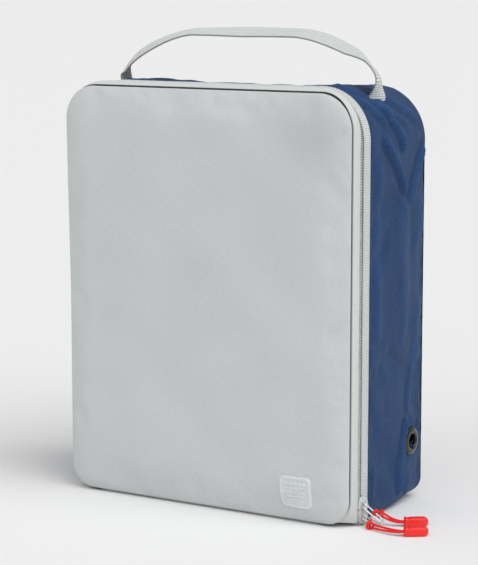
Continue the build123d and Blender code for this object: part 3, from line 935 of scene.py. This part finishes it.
def strip_grid(rows=24):
    """The strip between front seam and zip, its lower ends flaring to the panel's rounder corners."""
    across, widths = resample(STRIP_PROFILE, rows)
    start = LOOP_STEPS[0]
    stop = len(AROUND) - LOOP_STEPS[0] + 1
    grid = np.zeros((rows, stop - start, 3))
    cloth = np.zeros_like(grid)
    for row, (y, inset) in enumerate(across):
        share = float(smooth((y - SEAM_Y - 0.5) / (STRIP_Y - SEAM_Y)))
        radius = PANEL_RADIUS + (2.5 - PANEL_RADIUS) * share
        rolled = min(max(STRIP_START + STRIP_ROLL - y, 0.0) / STRIP_ROLL, 1.0) ** 2
        shoulder = float(top_radius_at(y))
        points = loop(
            inset, FLAP_Z - inset, radius + inset * (1 - share), shoulder, FRONT_DROP * rolled
        )[start:stop]
        grid[row, :, 0] = points[:, 0]
        grid[row, :, 1] = y
        grid[row, :, 2] = points[:, 1]
        cloth[row, :, 0] = AROUND[start:stop]
        cloth[row, :, 1] = widths[row]
    # Painted shade: the strip's tucked edge is darkened to 0.35, a dark line in the seam's groove, made
    # lighter along the middle of the top.
    cloth[..., 2] = 0.35 + 0.65 * smooth((widths - SEAM_TUCK) / 1.2)[:, None]
    top_strip_shade_lifted = smooth((grid[..., 2] - TOP + 20) / 8) * smooth((100 - grid[..., 0]) / 30)
    top_strip_shade_lifted = top_strip_shade_lifted * smooth((grid[..., 0] + 115) / 40)
    cloth[..., 2] = np.maximum(cloth[..., 2], 0.75 * top_strip_shade_lifted)
    soft = 0.18 * ripple(cloth[..., 0], cloth[..., 1] * 2, 41, 40)
    soft = soft * np.sin(np.linspace(0, math.pi, rows))[:, None]
    grid = grid + normals(grid) * soft[..., None]
    return grid, cloth


grid, cloth = strip_grid()
strip_cloth = sheet("strip_cloth", grid, cloth, 0.8)
piece(strip_cloth, "strip", "grey_fabric", "flap", "front_strip")

REAR_TAPE_PROFILE = [
    (-45.6, 1.7), (-46.8, 1.4), (-47.0, 0.5), (-46.2, -0.2), (-44.5, -0.45),
    (-41.0, -0.5), (-38.0, -0.4), (-36.6, -0.1), (-36.3, 0.6), (-36.9, 1.1),
]
# The rear tape's ribs get painted shade in their hollows.
rear_tape = arch_sheet("rear_tape", REAR_TAPE_PROFILE, 15, 0.7, start=0.8, pitch=0.35, wobble=0.12, rib=0.22)
piece(rear_tape, "tape", "zip_tape", "bag", "rear_zip_tape")
FRONT_TAPE_PROFILE = [(-54.0, 2.1), (-53.0, 1.9), (-50.0, 1.9), (-48.7, 1.9), (-48.3, 2.3)]
# Painted shade: the tape under the teeth is darkened to 0.35 so the gaps between the teeth read dark.
front_tape = arch_sheet("front_tape", FRONT_TAPE_PROFILE, 8, 0.6, start=2.6, shade=0.35)
piece(front_tape, "tape", "zip_tape", "flap", "front_zip_tape")

TOOTH_PITCH = 1.27
tooth = capsule(0.72, 0.5, 1.0, 8)
tooth_points = [(x, y * 4.4, z * 1.1) for x, y, z in tooth[0]]
front_teeth = stamp(
    "front_teeth", tooth_points, tooth[1], arch_places(-50.6, 0.75, 3.4, ARCH_LENGTH - 3.4, TOOTH_PITCH)
)
piece(front_teeth, "coil", "zip_coil", "flap", "front_zip_coil")
rear_points = [(x, y * 2.6, z * 1.1) for x, y, z in tooth[0]]
rear_teeth = stamp(
    "rear_teeth", rear_points, tooth[1],
    arch_places(-45.9, 2.1, 3.4 + TOOTH_PITCH / 2, ARCH_LENGTH - 3.4, TOOTH_PITCH),
)
piece(rear_teeth, "coil", "zip_coil", "bag", "rear_zip_coil")

# The folding strip under the flap
HINGE_PROFILE = [
    (-62.8, 3.9), (-63.4, 3.5), (-63.8, 2.8), (-63.8, 1.9), (-63.4, 1.0), (-62.2, 0.35),
    (-59.0, 0.12), (-54.0, 0.08), (-45.0, 0.08), (-36.0, 0.08),
]
across, widths = resample(HINGE_PROFILE, 34)
columns = np.linspace(-1, 1, 121)
grid = np.zeros((34, 121, 3))
cloth = np.ones_like(grid)
for row, (y, z) in enumerate(across):
    half = 110.0 + 26.0 * float(smooth((y + 63) / 12))
    grid[row, :, 0] = columns * half
    grid[row, :, 1] = y
    grid[row, :, 2] = z
    cloth[row, :, 0] = columns * half
    cloth[row, :, 1] = widths[row]
hinge_cloth = sheet("hinge_cloth", grid, cloth, 0.5)
piece(hinge_cloth, "strip", "grey_fabric", None, "hinge_strip")
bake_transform(hinge_cloth)

# ---------------------------------------------------------------- stitching


def stitches(name, y, start, end, material, body, slot, inset=-0.1, length=2.3, pitch=3.0):
    points, faces = capsule(length, 0.24, 0.8)
    row = stamp(name, points, faces, arch_places(y, inset, start, end, pitch))
    return piece(row, material, slot, body)


stitches("tape_stitches", -38.2, 4, ARCH_LENGTH - 4, "thread", "bag", "zip_tape", -0.42)
stitches("gusset_stitches", -33.6, 16, ARCH_LENGTH - 16, "navy_thread", "bag", "blue_fabric", -0.12)
stitches("strip_stitches", -54.4, 6, ARCH_LENGTH - 6, "thread", "flap", "grey_fabric", -0.28, 2.0, 2.8)

# ---------------------------------------------------------------- inside

inner = np.zeros((24, len(AROUND), 3))
inner_levels = np.linspace(-42.5, BACK_Y - 1.2, 24)
for row, y in enumerate(inner_levels):
    points = loop(
        2.4 + float(gusset_inset(min(y, BACK_Y - 4))), 1.5, float(low_radius_at(y)), float(top_radius_at(y))
    )
    inner[row, :, 0], inner[row, :, 1], inner[row, :, 2] = points[:, 0], y, points[:, 1]
inner_out = normals(inner, True)
soft = 0.35 * ripple(inner_levels[:, None], t_of, 51, 45)
soft = np.minimum(soft, 0.1) * smooth((inner[..., 2] - 6) / 10)
inner = inner + inner_out * soft[..., None]
cloth = np.stack(np.broadcast_arrays(t_of, inner_levels[:, None], 1.0), -1)
middles = (inner_levels[:-1] + inner_levels[1:])[:, None] / 2
hole = np.hypot(middles - EYELET_Y, centre_t - EYELET_Z) < 9.5
hole |= np.hypot(middles - EYELET_Y, ARCH_LENGTH - centre_t - EYELET_Z) < 9.5
inner_lining = sheet("inner_lining", inner, cloth, 0.5, True, hole, flip=True)
piece(inner_lining, "lining", "lining_fabric", "bag", "gusset_lining", "base_lining")

for name, body, node, y, way, bottom, radius, top, top_radius in (
    (
        "front_lining_cloth", "flap", "front_lining", SEAM_Y + 0.3, 1,
        FLAP_Z, PANEL_RADIUS, TOP - 2, FRONT_TOP_RADIUS,
    ),
    ("back_lining_cloth", "bag", "back_lining", BACK_Y - 0.3, -1, 0.0, BACK_LOW_RADIUS, TOP, BACK_TOP_RADIUS),
):
    flat_profile = [(2.6, 0.0), (4.0, 0.3), (8.0, 0.6), (20.0, 0.7), (50.0, 0.7)]
    grid, cloth, distance = cover_grid(flat_profile, bottom, radius, top, top_radius, y, way)
    grid = grid[::2, ::2]
    cloth = cloth[::2, ::2]
    grid[..., 1] += way * 0.25 * ripple(grid[..., 0], grid[..., 2], 61, 50) * smooth(distance[::2, ::2] / 15)
    lining = sheet(name, grid, cloth, 0.5, flip=way < 0)
    piece(lining, "lining", "lining_fabric", body, node)

for name, body, node, y, way, further in (
    ("front_edge_tape", "flap", "front_binding", SEAM_Y + 0.9, 1, 0.0),
    ("back_edge_tape", "bag", "rear_binding", BACK_Y - 0.9, -1, BACK_TAPER),
):
    profile = [(y, 2.7), (y + way * 5.0, 2.75), (y + way * 6.0, 3.1), (y + way * 5.0, 3.7), (y, 3.9)]
    profile = [(place, inset + further) for place, inset in profile]
    tape = arch_sheet(name, profile, 12, 0.3, start=27.0, pitch=3.0)
    piece(tape, "binding", "binding", body, node)

for name, side in (("left", -1), ("right", 1)):
    start, end = ARCH_SIDE + TOP_RADIUS * math.radians(34), ARCH_SIDE + TOP_RADIUS * math.radians(64)
    if side < 0:
        start, end = ARCH_LENGTH - end, ARCH_LENGTH - start
    profile = [(HANDLE_Y - 15.5, 3.6), (HANDLE_Y - 15.0, 2.7), (HANDLE_Y + 15.0, 2.7), (HANDLE_Y + 15.5, 3.6)]
    patch = arch_sheet(name + "_patch", [(y, inset + 0.6) for y, inset in profile], 24, 0.8, start, end, 1.0)
    piece(patch, "binding", "patch", "bag", name + "_handle_patch")

# ---------------------------------------------------------------- eyelets

EYELET_PROFILE = [
    (6.35, -3.9), (6.35, 0.2), (6.5, 0.9), (7.0, 1.4), (7.9, 1.6), (9.0, 1.5), (10.3, 1.15),
    (11.3, 0.7), (11.9, 0.25), (12.0, -0.1), (11.6, -0.4), (8.0, -0.4), (7.1, -0.6), (7.1, -3.2),
    (9.0, -3.3), (11.8, -3.2), (12.0, -3.5), (11.6, -3.9), (9.6, -4.4), (7.6, -4.7), (6.7, -4.5),
]
for name, side in (("left", -1), ("right", 1)):
    ring = lathe(name + "_vent", EYELET_PROFILE, (side * HALF, EYELET_Y, EYELET_Z), side)
    piece(ring, "eyelet", "eyelet_metal", "bag", name + "_eyelet", name + "_eyelet_washer")

# ---------------------------------------------------------------- handle

HANDLE_LINE = [
    (124.2, 343.5), (126.2, 355.0), (128.0, 365.5), (110.0, 381.8),
    (66.0, 399.0), (32.0, 399.6), (0.0, 399.6),
]
STRAP_WIDTH = 25.0
STRAP = 1.3
RIB = 2.1
TWISTS = [  # (distance from the right foot, twist, cup)
    (0, 5, 0.2), (5, 5, 0.4), (12, -15, 1.0), (18, -20, 1.4), (24, -22, 1.2), (30, -22, 0.9),
    (35, -19, 0.6), (52, 4, 0.4), (72, 9, 0.3), (97, 12, 0.2), (152, 16, 0.2), (200, 11, 0.2),
    (255, 26, 0.4), (273, 29, 0.8), (281, 29, 1.0), (288, 14, 1.0), (305, 14, 0.2),
]


def soft_line(points, steps=40):
    """A line of parabolas that touches the middle of each run between the points."""
    points = [np.array(point, float) for point in points]
    line = [points[0]]
    for before, here, after in zip(points, points[1:], points[2:]):
        start = (before + here) / 2 if len(line) > 1 else points[0]
        end = (here + after) / 2
        for share in np.linspace(0, 1, steps + 1)[1:]:
            line.append((1 - share) ** 2 * start + 2 * share * (1 - share) * here + share ** 2 * end)
    return np.array(line)


def strap_grid():
    half_line = soft_line(HANDLE_LINE)
    other = half_line[::-1][1:] * (-1, 1)
    line = np.concatenate([half_line, [[0.0, HANDLE_LINE[-1][1]]], other])
    gaps = np.linalg.norm(np.diff(line, axis=0), axis=1)
    keep = np.concatenate([[True], gaps > 1e-6])
    line = line[keep]
    lengths = np.concatenate([[0], np.cumsum(np.linalg.norm(np.diff(line, axis=0), axis=1))])
    total = lengths[-1]
    stations = np.linspace(0, total, int(total / 0.36) + 1)
    x = np.interp(stations, lengths, line[:, 0])
    z = np.interp(stations, lengths, line[:, 1])
    kernel = np.hanning(15)
    kernel = kernel / kernel.sum()
    for values in (x, z):
        padded = np.concatenate([2 * values[0] - values[7:0:-1], values, 2 * values[-1] - values[-2:-9:-1]])
        values[:] = np.convolve(padded, kernel, "valid")
    tangent = np.stack([np.gradient(x), np.zeros_like(x), np.gradient(z)], -1)
    tangent = tangent / np.linalg.norm(tangent, axis=1, keepdims=True)
    rear = np.array([0.0, 1.0, 0.0])
    outer = np.cross(rear, tangent)
    outer = outer * np.sign(outer[len(outer) // 2, 2])
    knots, twists, cups = zip(*TWISTS)
    measured = stations * knots[-1] / total
    twist = np.radians(np.interp(measured, knots, twists))
    cup = np.interp(measured, knots, cups)
    kernel = np.hanning(27)
    kernel = kernel / kernel.sum()
    twist, cup = [np.convolve(np.pad(values, 13, "edge"), kernel, "valid") for values in (twist, cup)]
    across = rear * np.cos(twist)[:, None] + outer * np.sin(twist)[:, None]
    facing = outer * np.cos(twist)[:, None] - rear * np.sin(twist)[:, None]
    centre = np.stack([x, np.full_like(x, HANDLE_Y), z], -1)
    half = STRAP / 2
    ring = []
    for v in np.linspace(-1, 1, 33):
        ring.append((v, 1.0))
    for v in np.linspace(1, -1, 33):
        ring.append((v, -1.0))
    shape = []
    for v, face in ring:
        edge = 1 - 0.35 * max(0.0, (abs(v) - 0.94) / 0.06) ** 2
        wave = 0.5 + 0.5 * np.cos(2 * math.pi * stations / RIB + 0.35 * math.sin(9 * v))
        swell = 0.3 * np.sqrt(wave)
        offset = face * (half * edge + swell) - cup * (v * v - 0.4)
        sideways = v * (STRAP_WIDTH / 2 + 0.15 * wave * (abs(v) > 0.97))
        shape.append(centre + across * sideways[:, None] + facing * offset[:, None])
    grid = np.stack(shape, 1)
    cloth = np.zeros_like(grid)
    cloth[..., 0] = stations[:, None]
    cloth[..., 1] = np.array([v for v, _ in ring])[None, :] * STRAP_WIDTH / 2
    # The webbing's colour factor: darker at its edges, painted shade in the hollows between the ribs, and
    # painted shade on the inner face.
    selvedge = np.maximum(0, (np.abs(np.array([v for v, _ in ring])) - 0.96) / 0.04)[None, :] ** 2
    valley = 0.5 - 0.5 * np.cos(2 * math.pi * stations / RIB)[:, None]
    inner_face_shade = np.array([1.0 if face > 0 else 0.6 for _, face in ring])[None, :]
    cloth[..., 2] = (1.0 - 0.35 * selvedge) * (1 - 0.5 * valley) * inner_face_shade
    return grid, cloth


grid, cloth = strap_grid()
rows, columns = grid.shape[:2]
faces = grid_faces(rows, columns, True)
faces.append(tuple(range(columns)))
faces.append(tuple((rows - 1) * columns + k for k in range(columns))[::-1])
handle_strap = make("handle_strap", grid, faces, cloth, settled=False, solid=True)
piece(handle_strap, "webbing", "webbing", None, "handle_webbing", "left_handle_end", "right_handle_end")
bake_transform(handle_strap)

# ---------------------------------------------------------------- badge

bpy.context.view_layer.update()
cover_tree = BVHTree.FromObject(front_cover, bpy.context.evaluated_depsgraph_get())


def front_surface(x, z):
    """The front cover's Y at a place seen from the front."""
    place, _, _, _ = cover_tree.ray_cast(Vector((x * MM, -0.2, z * MM)), Vector((0, 1, 0)))
    return place.y / MM


def rounded_distance(x, z, half_x, half_z, radius):
    """Distance inside a rounded rectangle's edge, below zero outside."""
    dx = np.abs(x) - half_x + radius
    dz = np.abs(z) - half_z + radius
    return radius - np.hypot(np.maximum(dx, 0), np.maximum(dz, 0)) - np.minimum(np.maximum(dx, dz), 0)


badge_x = np.linspace(-BADGE_HALF[0], BADGE_HALF[0], 91)
badge_z = np.linspace(-BADGE_HALF[1], BADGE_HALF[1], 85)
across, up = np.meshgrid(badge_x, badge_z)
edge = rounded_distance(across, up, BADGE_HALF[0], BADGE_HALF[1], 5.0)
relief = -0.6 + 2.1 * smooth(edge / 0.9) - 0.9 * smooth((edge - 2.6) / 0.5)
column = np.round(across / 4.2 - 0.5 * (np.round(up / 3.7) % 2)) + 0.5 * (np.round(up / 3.7) % 2)
spot = np.hypot(across - column * 4.2, up - np.round(up / 3.7) * 3.7)
relief = relief + 0.9 * smooth((1.75 - spot) / 0.6) * smooth((edge - 4.2) / 0.3)
surface = np.array([
    [front_surface(BADGE_X + x, BADGE_Z + z) for x in badge_x] for z in badge_z
])
grid = np.stack([BADGE_X + across, surface - relief, BADGE_Z + up], -1)
cloth = np.stack([across, up, np.ones_like(up)], -1)
badge_relief = sheet("badge_relief", grid, cloth, 0.5, flip=True, settled=False)
piece(badge_relief, "badge", "grey_fabric", "flap", "badge")

# ---------------------------------------------------------------- sliders, bails, cords and tips

PIN_X = HALF + 3.2
PIN_Z = {"upper": 16.8, "lower": 7.0}
SLIDER_TURN = -24.0


def shield(middle_z, length, wide, narrow, way):
    """A slider plate's outline in (y, z): wide at its nose, narrow at its tail."""
    half = length / 2
    rows = [(-half, narrow * 0.36), (-half + 1.0, narrow * 0.47), (0.0, (wide + narrow) / 4 + 0.15),
            (half - 3.0, wide / 2), (half - 1.2, wide * 0.42), (half, wide * 0.22)]
    right = [(ZIP_Y + y, middle_z + way * z) for z, y in rows]
    left = [(ZIP_Y - y, middle_z + way * z) for z, y in rows[::-1]]
    return right + left


def turned(obj, angle, place):
    """A new object turned about the vertical line through place."""
    centre = Vector(place) * MM
    rotation = Matrix.Rotation(math.radians(angle), 4, "Z")
    turn = Matrix.Translation(centre) @ rotation @ Matrix.Translation(-centre)
    obj.data.transform(turn)
    return obj


def slider(name, node, way, body):
    base, roof = low(node, 2), high(node, 2)
    middle = (base + roof) / 2
    outline = shield(middle, roof - base + 1.4, 11.0, 8.6, way)
    outer_x = HALF + 0.05
    face_x = outer_x + 1.1
    parts = [turned(prism("plate", outline, face_x, face_x + 1.45, 0.4), SLIDER_TURN, (face_x, ZIP_Y, 0))]
    parts.append(prism("under", outline, HALF - 4.6, HALF - 3.3, 0.35))
    post = [(ZIP_Y - 0.45, middle + way * 2.2), (ZIP_Y + 0.45, middle + way * 2.2),
            (ZIP_Y + 0.45, middle + way * 4.6), (ZIP_Y - 0.45, middle + way * 4.6)]
    parts.append(prism("post", post, HALF - 3.6, outer_x + 0.4, 0.15))
    for edge in (-1, 1):
        lip = [(ZIP_Y + edge * 3.2, middle - 4.2), (ZIP_Y + edge * 4.1, middle - 3.6),
               (ZIP_Y + edge * 4.3, middle + 2.2), (ZIP_Y + edge * 3.4, middle + 2.8)]
        parts.append(prism("lip", lip, HALF - 0.9, outer_x + 0.5, 0.2))
    pin_z = PIN_Z[body[:5]]
    ends = outer_x + 1.6
    bridge_line = [(ends, pin_z - 3.1), (ends + 2.9, pin_z - 3.0), (ends + 4.5, pin_z - 1.4),
                   (ends + 4.5, pin_z + 1.4), (ends + 2.9, pin_z + 3.0), (ends, pin_z + 3.1)]
    bridge_points, _ = resample(bridge_line, 25)
    parts.append(turned(band("bridge", bridge_points, 2.4, 0.9), SLIDER_TURN, (face_x, ZIP_Y, 0)))
    obj = join(name, parts)
    return piece(obj, "enamel", "slider_metal", body, node)


def band(name, line, width, thickness):
    """A flat bar along a line of (x, z) points, centred on the zip."""
    tangent = np.gradient(line, axis=0)
    tangent /= np.linalg.norm(tangent, axis=1, keepdims=True)
    out = np.stack([tangent[:, 1], -tangent[:, 0]], -1)
    ring = []
    for step in range(12):
        angle = 2 * math.pi * step / 12
        ring.append((
            math.copysign(abs(math.cos(angle)) ** 0.5, math.cos(angle)) * width / 2,
            math.copysign(abs(math.sin(angle)) ** 0.5, math.sin(angle)) * thickness / 2,
        ))
    points = []
    for (x, z), (out_x, out_z) in zip(line, out):
        points += [(x + out_x * rise, ZIP_Y + y, z + out_z * rise) for y, rise in ring]
    faces = grid_faces(len(line), 12, True)
    faces.append(tuple(range(12)))
    faces.append(tuple((len(line) - 1) * 12 + k for k in range(12))[::-1])
    return make(name, points, faces, settled=False, solid=True)


slider("upper_slider_body", "upper_slider", -1, "upper_slider")
slider("lower_slider_body", "lower_slider", 1, "lower_slider")


def rounded_rectangle(length, width, radius, steps=9):
    points = []
    for corner_x, corner_y, start in ((1, 1, 0), (-1, 1, 90), (-1, -1, 180), (1, -1, 270)):
        for step in range(steps):
            angle = math.radians(start + 90 * step / (steps - 1))
            points.append((
                corner_x * (length / 2 - radius) + radius * math.cos(angle),
                corner_y * (width / 2 - radius) + radius * math.sin(angle),
            ))
    return points


BAIL_WIDTH = 7.0
BAIL_CORNER = 1.6
BAIL_WIRE = 1.4


def bail(name, pin_z, bar, body, node):
    """A wire loop from the slider's bridge to the bar that carries the cord."""
    run_x, run_z = bar[0] - PIN_X, bar[1] - pin_z
    length = math.hypot(run_x, run_z)
    way = np.array([run_x, 0, run_z]) / length
    middle = np.array([PIN_X + run_x / 2, ZIP_Y, pin_z + run_z / 2])
    path = [
        middle + way * along + np.array([0, 1, 0]) * across
        for along, across in rounded_rectangle(length, BAIL_WIDTH, BAIL_CORNER)
    ]
    return piece(tube(name, path, BAIL_WIRE / 2, 12, True), "wire", "slider_metal", body, node)


UPPER_BAR = (160.5, 6.0)
LOWER_BAR = (158.0, 2.0)
UPPER_GRIP_X = 151.5
LOWER_GRIP_X = 150.5
UPPER_MOUTH = (172.6, -31.9, 3.9)
LOWER_MOUTH = (186.4, -58.7, 3.9)
UPPER_YAW = 34.5
LOWER_YAW = 37.0
TIP_LENGTH = 20.0
CORD = 2.0
CORD_CLEARANCE = 0.2
CORD_SPREAD = 1.2
bail("upper_wire", PIN_Z["upper"], UPPER_BAR, "upper_pull", "upper_bail")
bail("lower_wire", PIN_Z["lower"], LOWER_BAR, "lower_pull", "lower_bail")


def grip_of(pin_z, bar, grip_x, leg_side):
    """The place on a bail's leg where its cord goes round it, and the leg's direction."""
    root = Vector((PIN_X, ZIP_Y + leg_side * BAIL_WIDTH / 2, pin_z))
    leg = Vector((bar[0], root.y, bar[1])) - root
    return root + leg * ((grip_x - PIN_X) / (bar[0] - PIN_X)), leg.normalized()


def cord_points(grip, leg, leg_side, mouth, yaw):
    """The route of one cord: out of the tip, over one leg of the bail, round it and back to the tip."""
    over = BAIL_WIRE / 2 + CORD / 2 + CORD_CLEARANCE
    away = Vector((0, leg_side, 0))
    up = Vector((-leg.z, 0, leg.x))
    tip_mouth = Vector(mouth)
    angle = math.radians(yaw)
    along = Vector((math.cos(angle), math.sin(angle), 0))
    side = Vector((-math.sin(angle), math.cos(angle), 0))
    middle = [tip_mouth, tip_mouth - along * 7, grip + away * 5 + leg * 4, grip - away * over]
    apart = [side * CORD_SPREAD, side + Vector((0, 0, 0.6)), up * 1.7, up * over]
    leaving = [place + shift for place, shift in zip(middle, apart)]
    coming = [place - shift for place, shift in zip(middle, apart)]
    return leaving + coming[::-1]


def cord_curve(name, route):
    curve = bpy.data.curves.new(name, "CURVE")
    curve.dimensions = "3D"
    curve.bevel_depth = CORD / 2 * MM
    curve.bevel_resolution = 4
    curve.resolution_u = 14
    curve.use_fill_caps = True
    spline = curve.splines.new("NURBS")
    spline.points.add(len(route) - 1)
    for point, place in zip(spline.points, route):
        point.co = (place[0] * MM, place[1] * MM, place[2] * MM, 1.0)
    spline.order_u = 3
    spline.use_endpoint_u = True
    obj = bpy.data.objects.new(name, curve)
    bpy.context.scene.collection.objects.link(obj)
    return obj


def tip(name, mouth, yaw):
    """A moulded tip: nearly square at the cord's end, rounded at the far end, with a moulded eye."""
    length, half_y, half_z = TIP_LENGTH, 4.2, 3.9
    stations = np.concatenate([[0.0, 0.05, 0.35, 0.8], np.linspace(1.4, length - 4, 26),
                               length - 4 + 4 * np.sin(np.linspace(0.12, math.pi / 2, 12))])
    rings = []
    sides = 40
    for along in stations:
        start = min(1.0, 0.72 + 0.28 * math.sqrt(min(along / 0.9, 1.0)))
        rest = (along - length + 4.0) / 4.0
        end = math.sqrt(max(1 - max(rest, 0.0) ** 2.3, 0.0))
        neck = 1 - 0.10 * math.exp(-((along - 3.4) / 0.7) ** 2) - 0.02 * math.sin(along * 0.4)
        size = start * (0.12 + 0.88 * end) * neck
        ring = []
        for step in range(sides):
            angle = 2 * math.pi * step / sides
            y = math.copysign(abs(math.cos(angle)) ** 0.55, math.cos(angle)) * half_y * size
            z = math.copysign(abs(math.sin(angle)) ** 0.55, math.sin(angle)) * half_z * size
            away = math.hypot(along - length + 5.2, y)
            if z > 0:
                z -= 0.9 * math.exp(-(away / 1.25) ** 4)
            ring.append((along, y, z))
        rings.append(ring)
    turn = Matrix.Rotation(math.radians(yaw), 3, "Z")
    points = [Vector(mouth) + turn @ Vector(point) for ring in rings for point in ring]
    faces = grid_faces(len(rings), sides, True)
    faces.append(tuple(range(sides)))
    faces.append(tuple((len(rings) - 1) * sides + k for k in range(sides))[::-1])
    return make(name, [tuple(point) for point in points], faces, settled=False, solid=True)


def hitch(name, centre, way, half_width, half_height):
    """The ring of cord that holds two strands together by the bail's bar."""
    way = Vector(way).normalized()
    side = Vector((0, 0, 1)).cross(way).normalized()
    up = way.cross(side)
    path = []
    for step in range(28):
        angle = 2 * math.pi * step / 28
        point = Vector(centre) + side * math.cos(angle) * half_width + up * math.sin(angle) * half_height
        point += way * 0.5 * math.sin(angle)
        path.append(tuple(point))
    return tube(name, path, 1.1, 12, True)


for name, bar, grip_x, leg_side, mouth, yaw, length in (
    ("upper", UPPER_BAR, UPPER_GRIP_X, 1, UPPER_MOUTH, UPPER_YAW, 58.9),
    ("lower", LOWER_BAR, LOWER_GRIP_X, -1, LOWER_MOUTH, LOWER_YAW, 85.5),
):
    body = name + "_pull"
    grip, leg = grip_of(PIN_Z[name], bar, grip_x, leg_side)
    route = cord_points(grip, leg, leg_side, mouth, yaw)
    end = tip(name + "_tip", mouth, yaw)
    piece(end, "rubber", "red_tip", body, name + "_pull_tip")
    centre = (route[2] + route[5]) / 2
    wraps = [hitch("wrap", centre, centre - grip, 2.6, 3.1), hitch("wrap", grip, leg, 2.1, 2.1)]
    knot = piece(join(name + "_hitch", wraps), "cord", "red_cord", body)
    cord = cord_curve(name + "_cord", route)
    piece(cord, "cord", "red_cord", body, name + "_pull_cord")

# Fabric tabs that close the zip's ends beside the base
for name, side in (("left", -1), ("right", 1)):
    low_corner, high_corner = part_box(name + "_zip_tab")
    size = (high_corner - low_corner) / MM
    centre = (high_corner + low_corner) / 2 / MM
    u = np.linspace(-0.5, 0.5, 25)
    v = np.linspace(-0.5, 0.5, 13)
    across, deep = np.meshgrid(u, v)
    z = centre.z + size.z * (0.42 - 0.9 * np.abs(across) ** 6 * 8 - 0.9 * np.abs(deep) ** 4 * 3)
    grid = np.stack([centre.x + across * size.x, centre.y + deep * size.y, z], -1)
    cloth = np.stack([across * size.x, deep * size.y, np.ones_like(z)], -1)
    tab = sheet(name + "_tab", grid, cloth, 0.6, flip=True, settled=False)
    piece(tab, "tape", "zip_tape", "bag", name + "_zip_tab")

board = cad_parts["base_board"]
for holder in board.material_slots:
    holder.material = MAT["board"]
if not board.material_slots:
    board.data.materials.append(MAT["board"])

# ---------------------------------------------------------------- floor, light and camera

FLOOR_REACH = 90.0  # metres from the middle to each edge
WORLD_STRENGTH = 0.44
LAMP_TARGET = Vector((0, 0, 0.15))
floor_corners = [(x * FLOOR_REACH, y * FLOOR_REACH, 0) for x, y in ((-1, -1), (1, -1), (1, 1), (-1, 1))]
floor_mesh = bpy.data.meshes.new("floor")
floor_mesh.from_pydata(floor_corners, [], [(0, 1, 2, 3)])
floor = bpy.data.objects.new("floor", floor_mesh)
bpy.context.scene.collection.objects.link(floor)
ground = Graph("floor", Base_Color=rgb(241, 241, 241), Roughness=0.9, Specular_IOR_Level=0.1)
floor_mesh.materials.append(ground.material)

scene = bpy.context.scene
scene.view_settings.view_transform = "Standard"
world = bpy.data.worlds.new("studio")
scene.world = world
world.use_nodes = True
world.node_tree.nodes["Background"].inputs[0].default_value = (1.0, 1.0, 1.0, 1.0)
world.node_tree.nodes["Background"].inputs[1].default_value = WORLD_STRENGTH


def sun(name, energy, direction, angle):
    """A sun that shines from direction at the bag. A wider angle, in degrees, gives softer shadows."""
    light = bpy.data.lights.new(name, "SUN")
    light.energy = energy
    light.angle = math.radians(angle)
    obj = bpy.data.objects.new(name, light)
    scene.collection.objects.link(obj)
    aim = LAMP_TARGET - Vector(direction)
    obj.rotation_mode = "QUATERNION"
    obj.rotation_quaternion = aim.to_track_quat("-Z", "Y")


sun("key", 1.9, (1.25, -0.45, 1.8), 55)
sun("fill", 0.5, (-0.5, -1.6, 0.9), 60)

CAMERA_TARGET = Vector((-0.006845, 0.0, 0.184163))
CAMERA_AZIMUTH = math.radians(31.99)
CAMERA_ELEVATION = math.radians(8.44)
CAMERA_DISTANCE = 1.79214  # metres
CAMERA_LENS = 131.91  # millimetres
camera_data = bpy.data.cameras.new("camera")
camera_data.lens = CAMERA_LENS
camera_data.sensor_width = 36.0
camera_data.clip_start = 0.05
camera_data.clip_end = 250.0
camera = bpy.data.objects.new("camera", camera_data)
scene.collection.objects.link(camera)
backward = Vector((
    math.sin(CAMERA_AZIMUTH) * math.cos(CAMERA_ELEVATION),
    -math.cos(CAMERA_AZIMUTH) * math.cos(CAMERA_ELEVATION),
    math.sin(CAMERA_ELEVATION),
))
camera.location = CAMERA_TARGET + backward * CAMERA_DISTANCE
camera.rotation_mode = "QUATERNION"
camera.rotation_quaternion = (-backward).to_track_quat("-Z", "Y")
scene.camera = camera
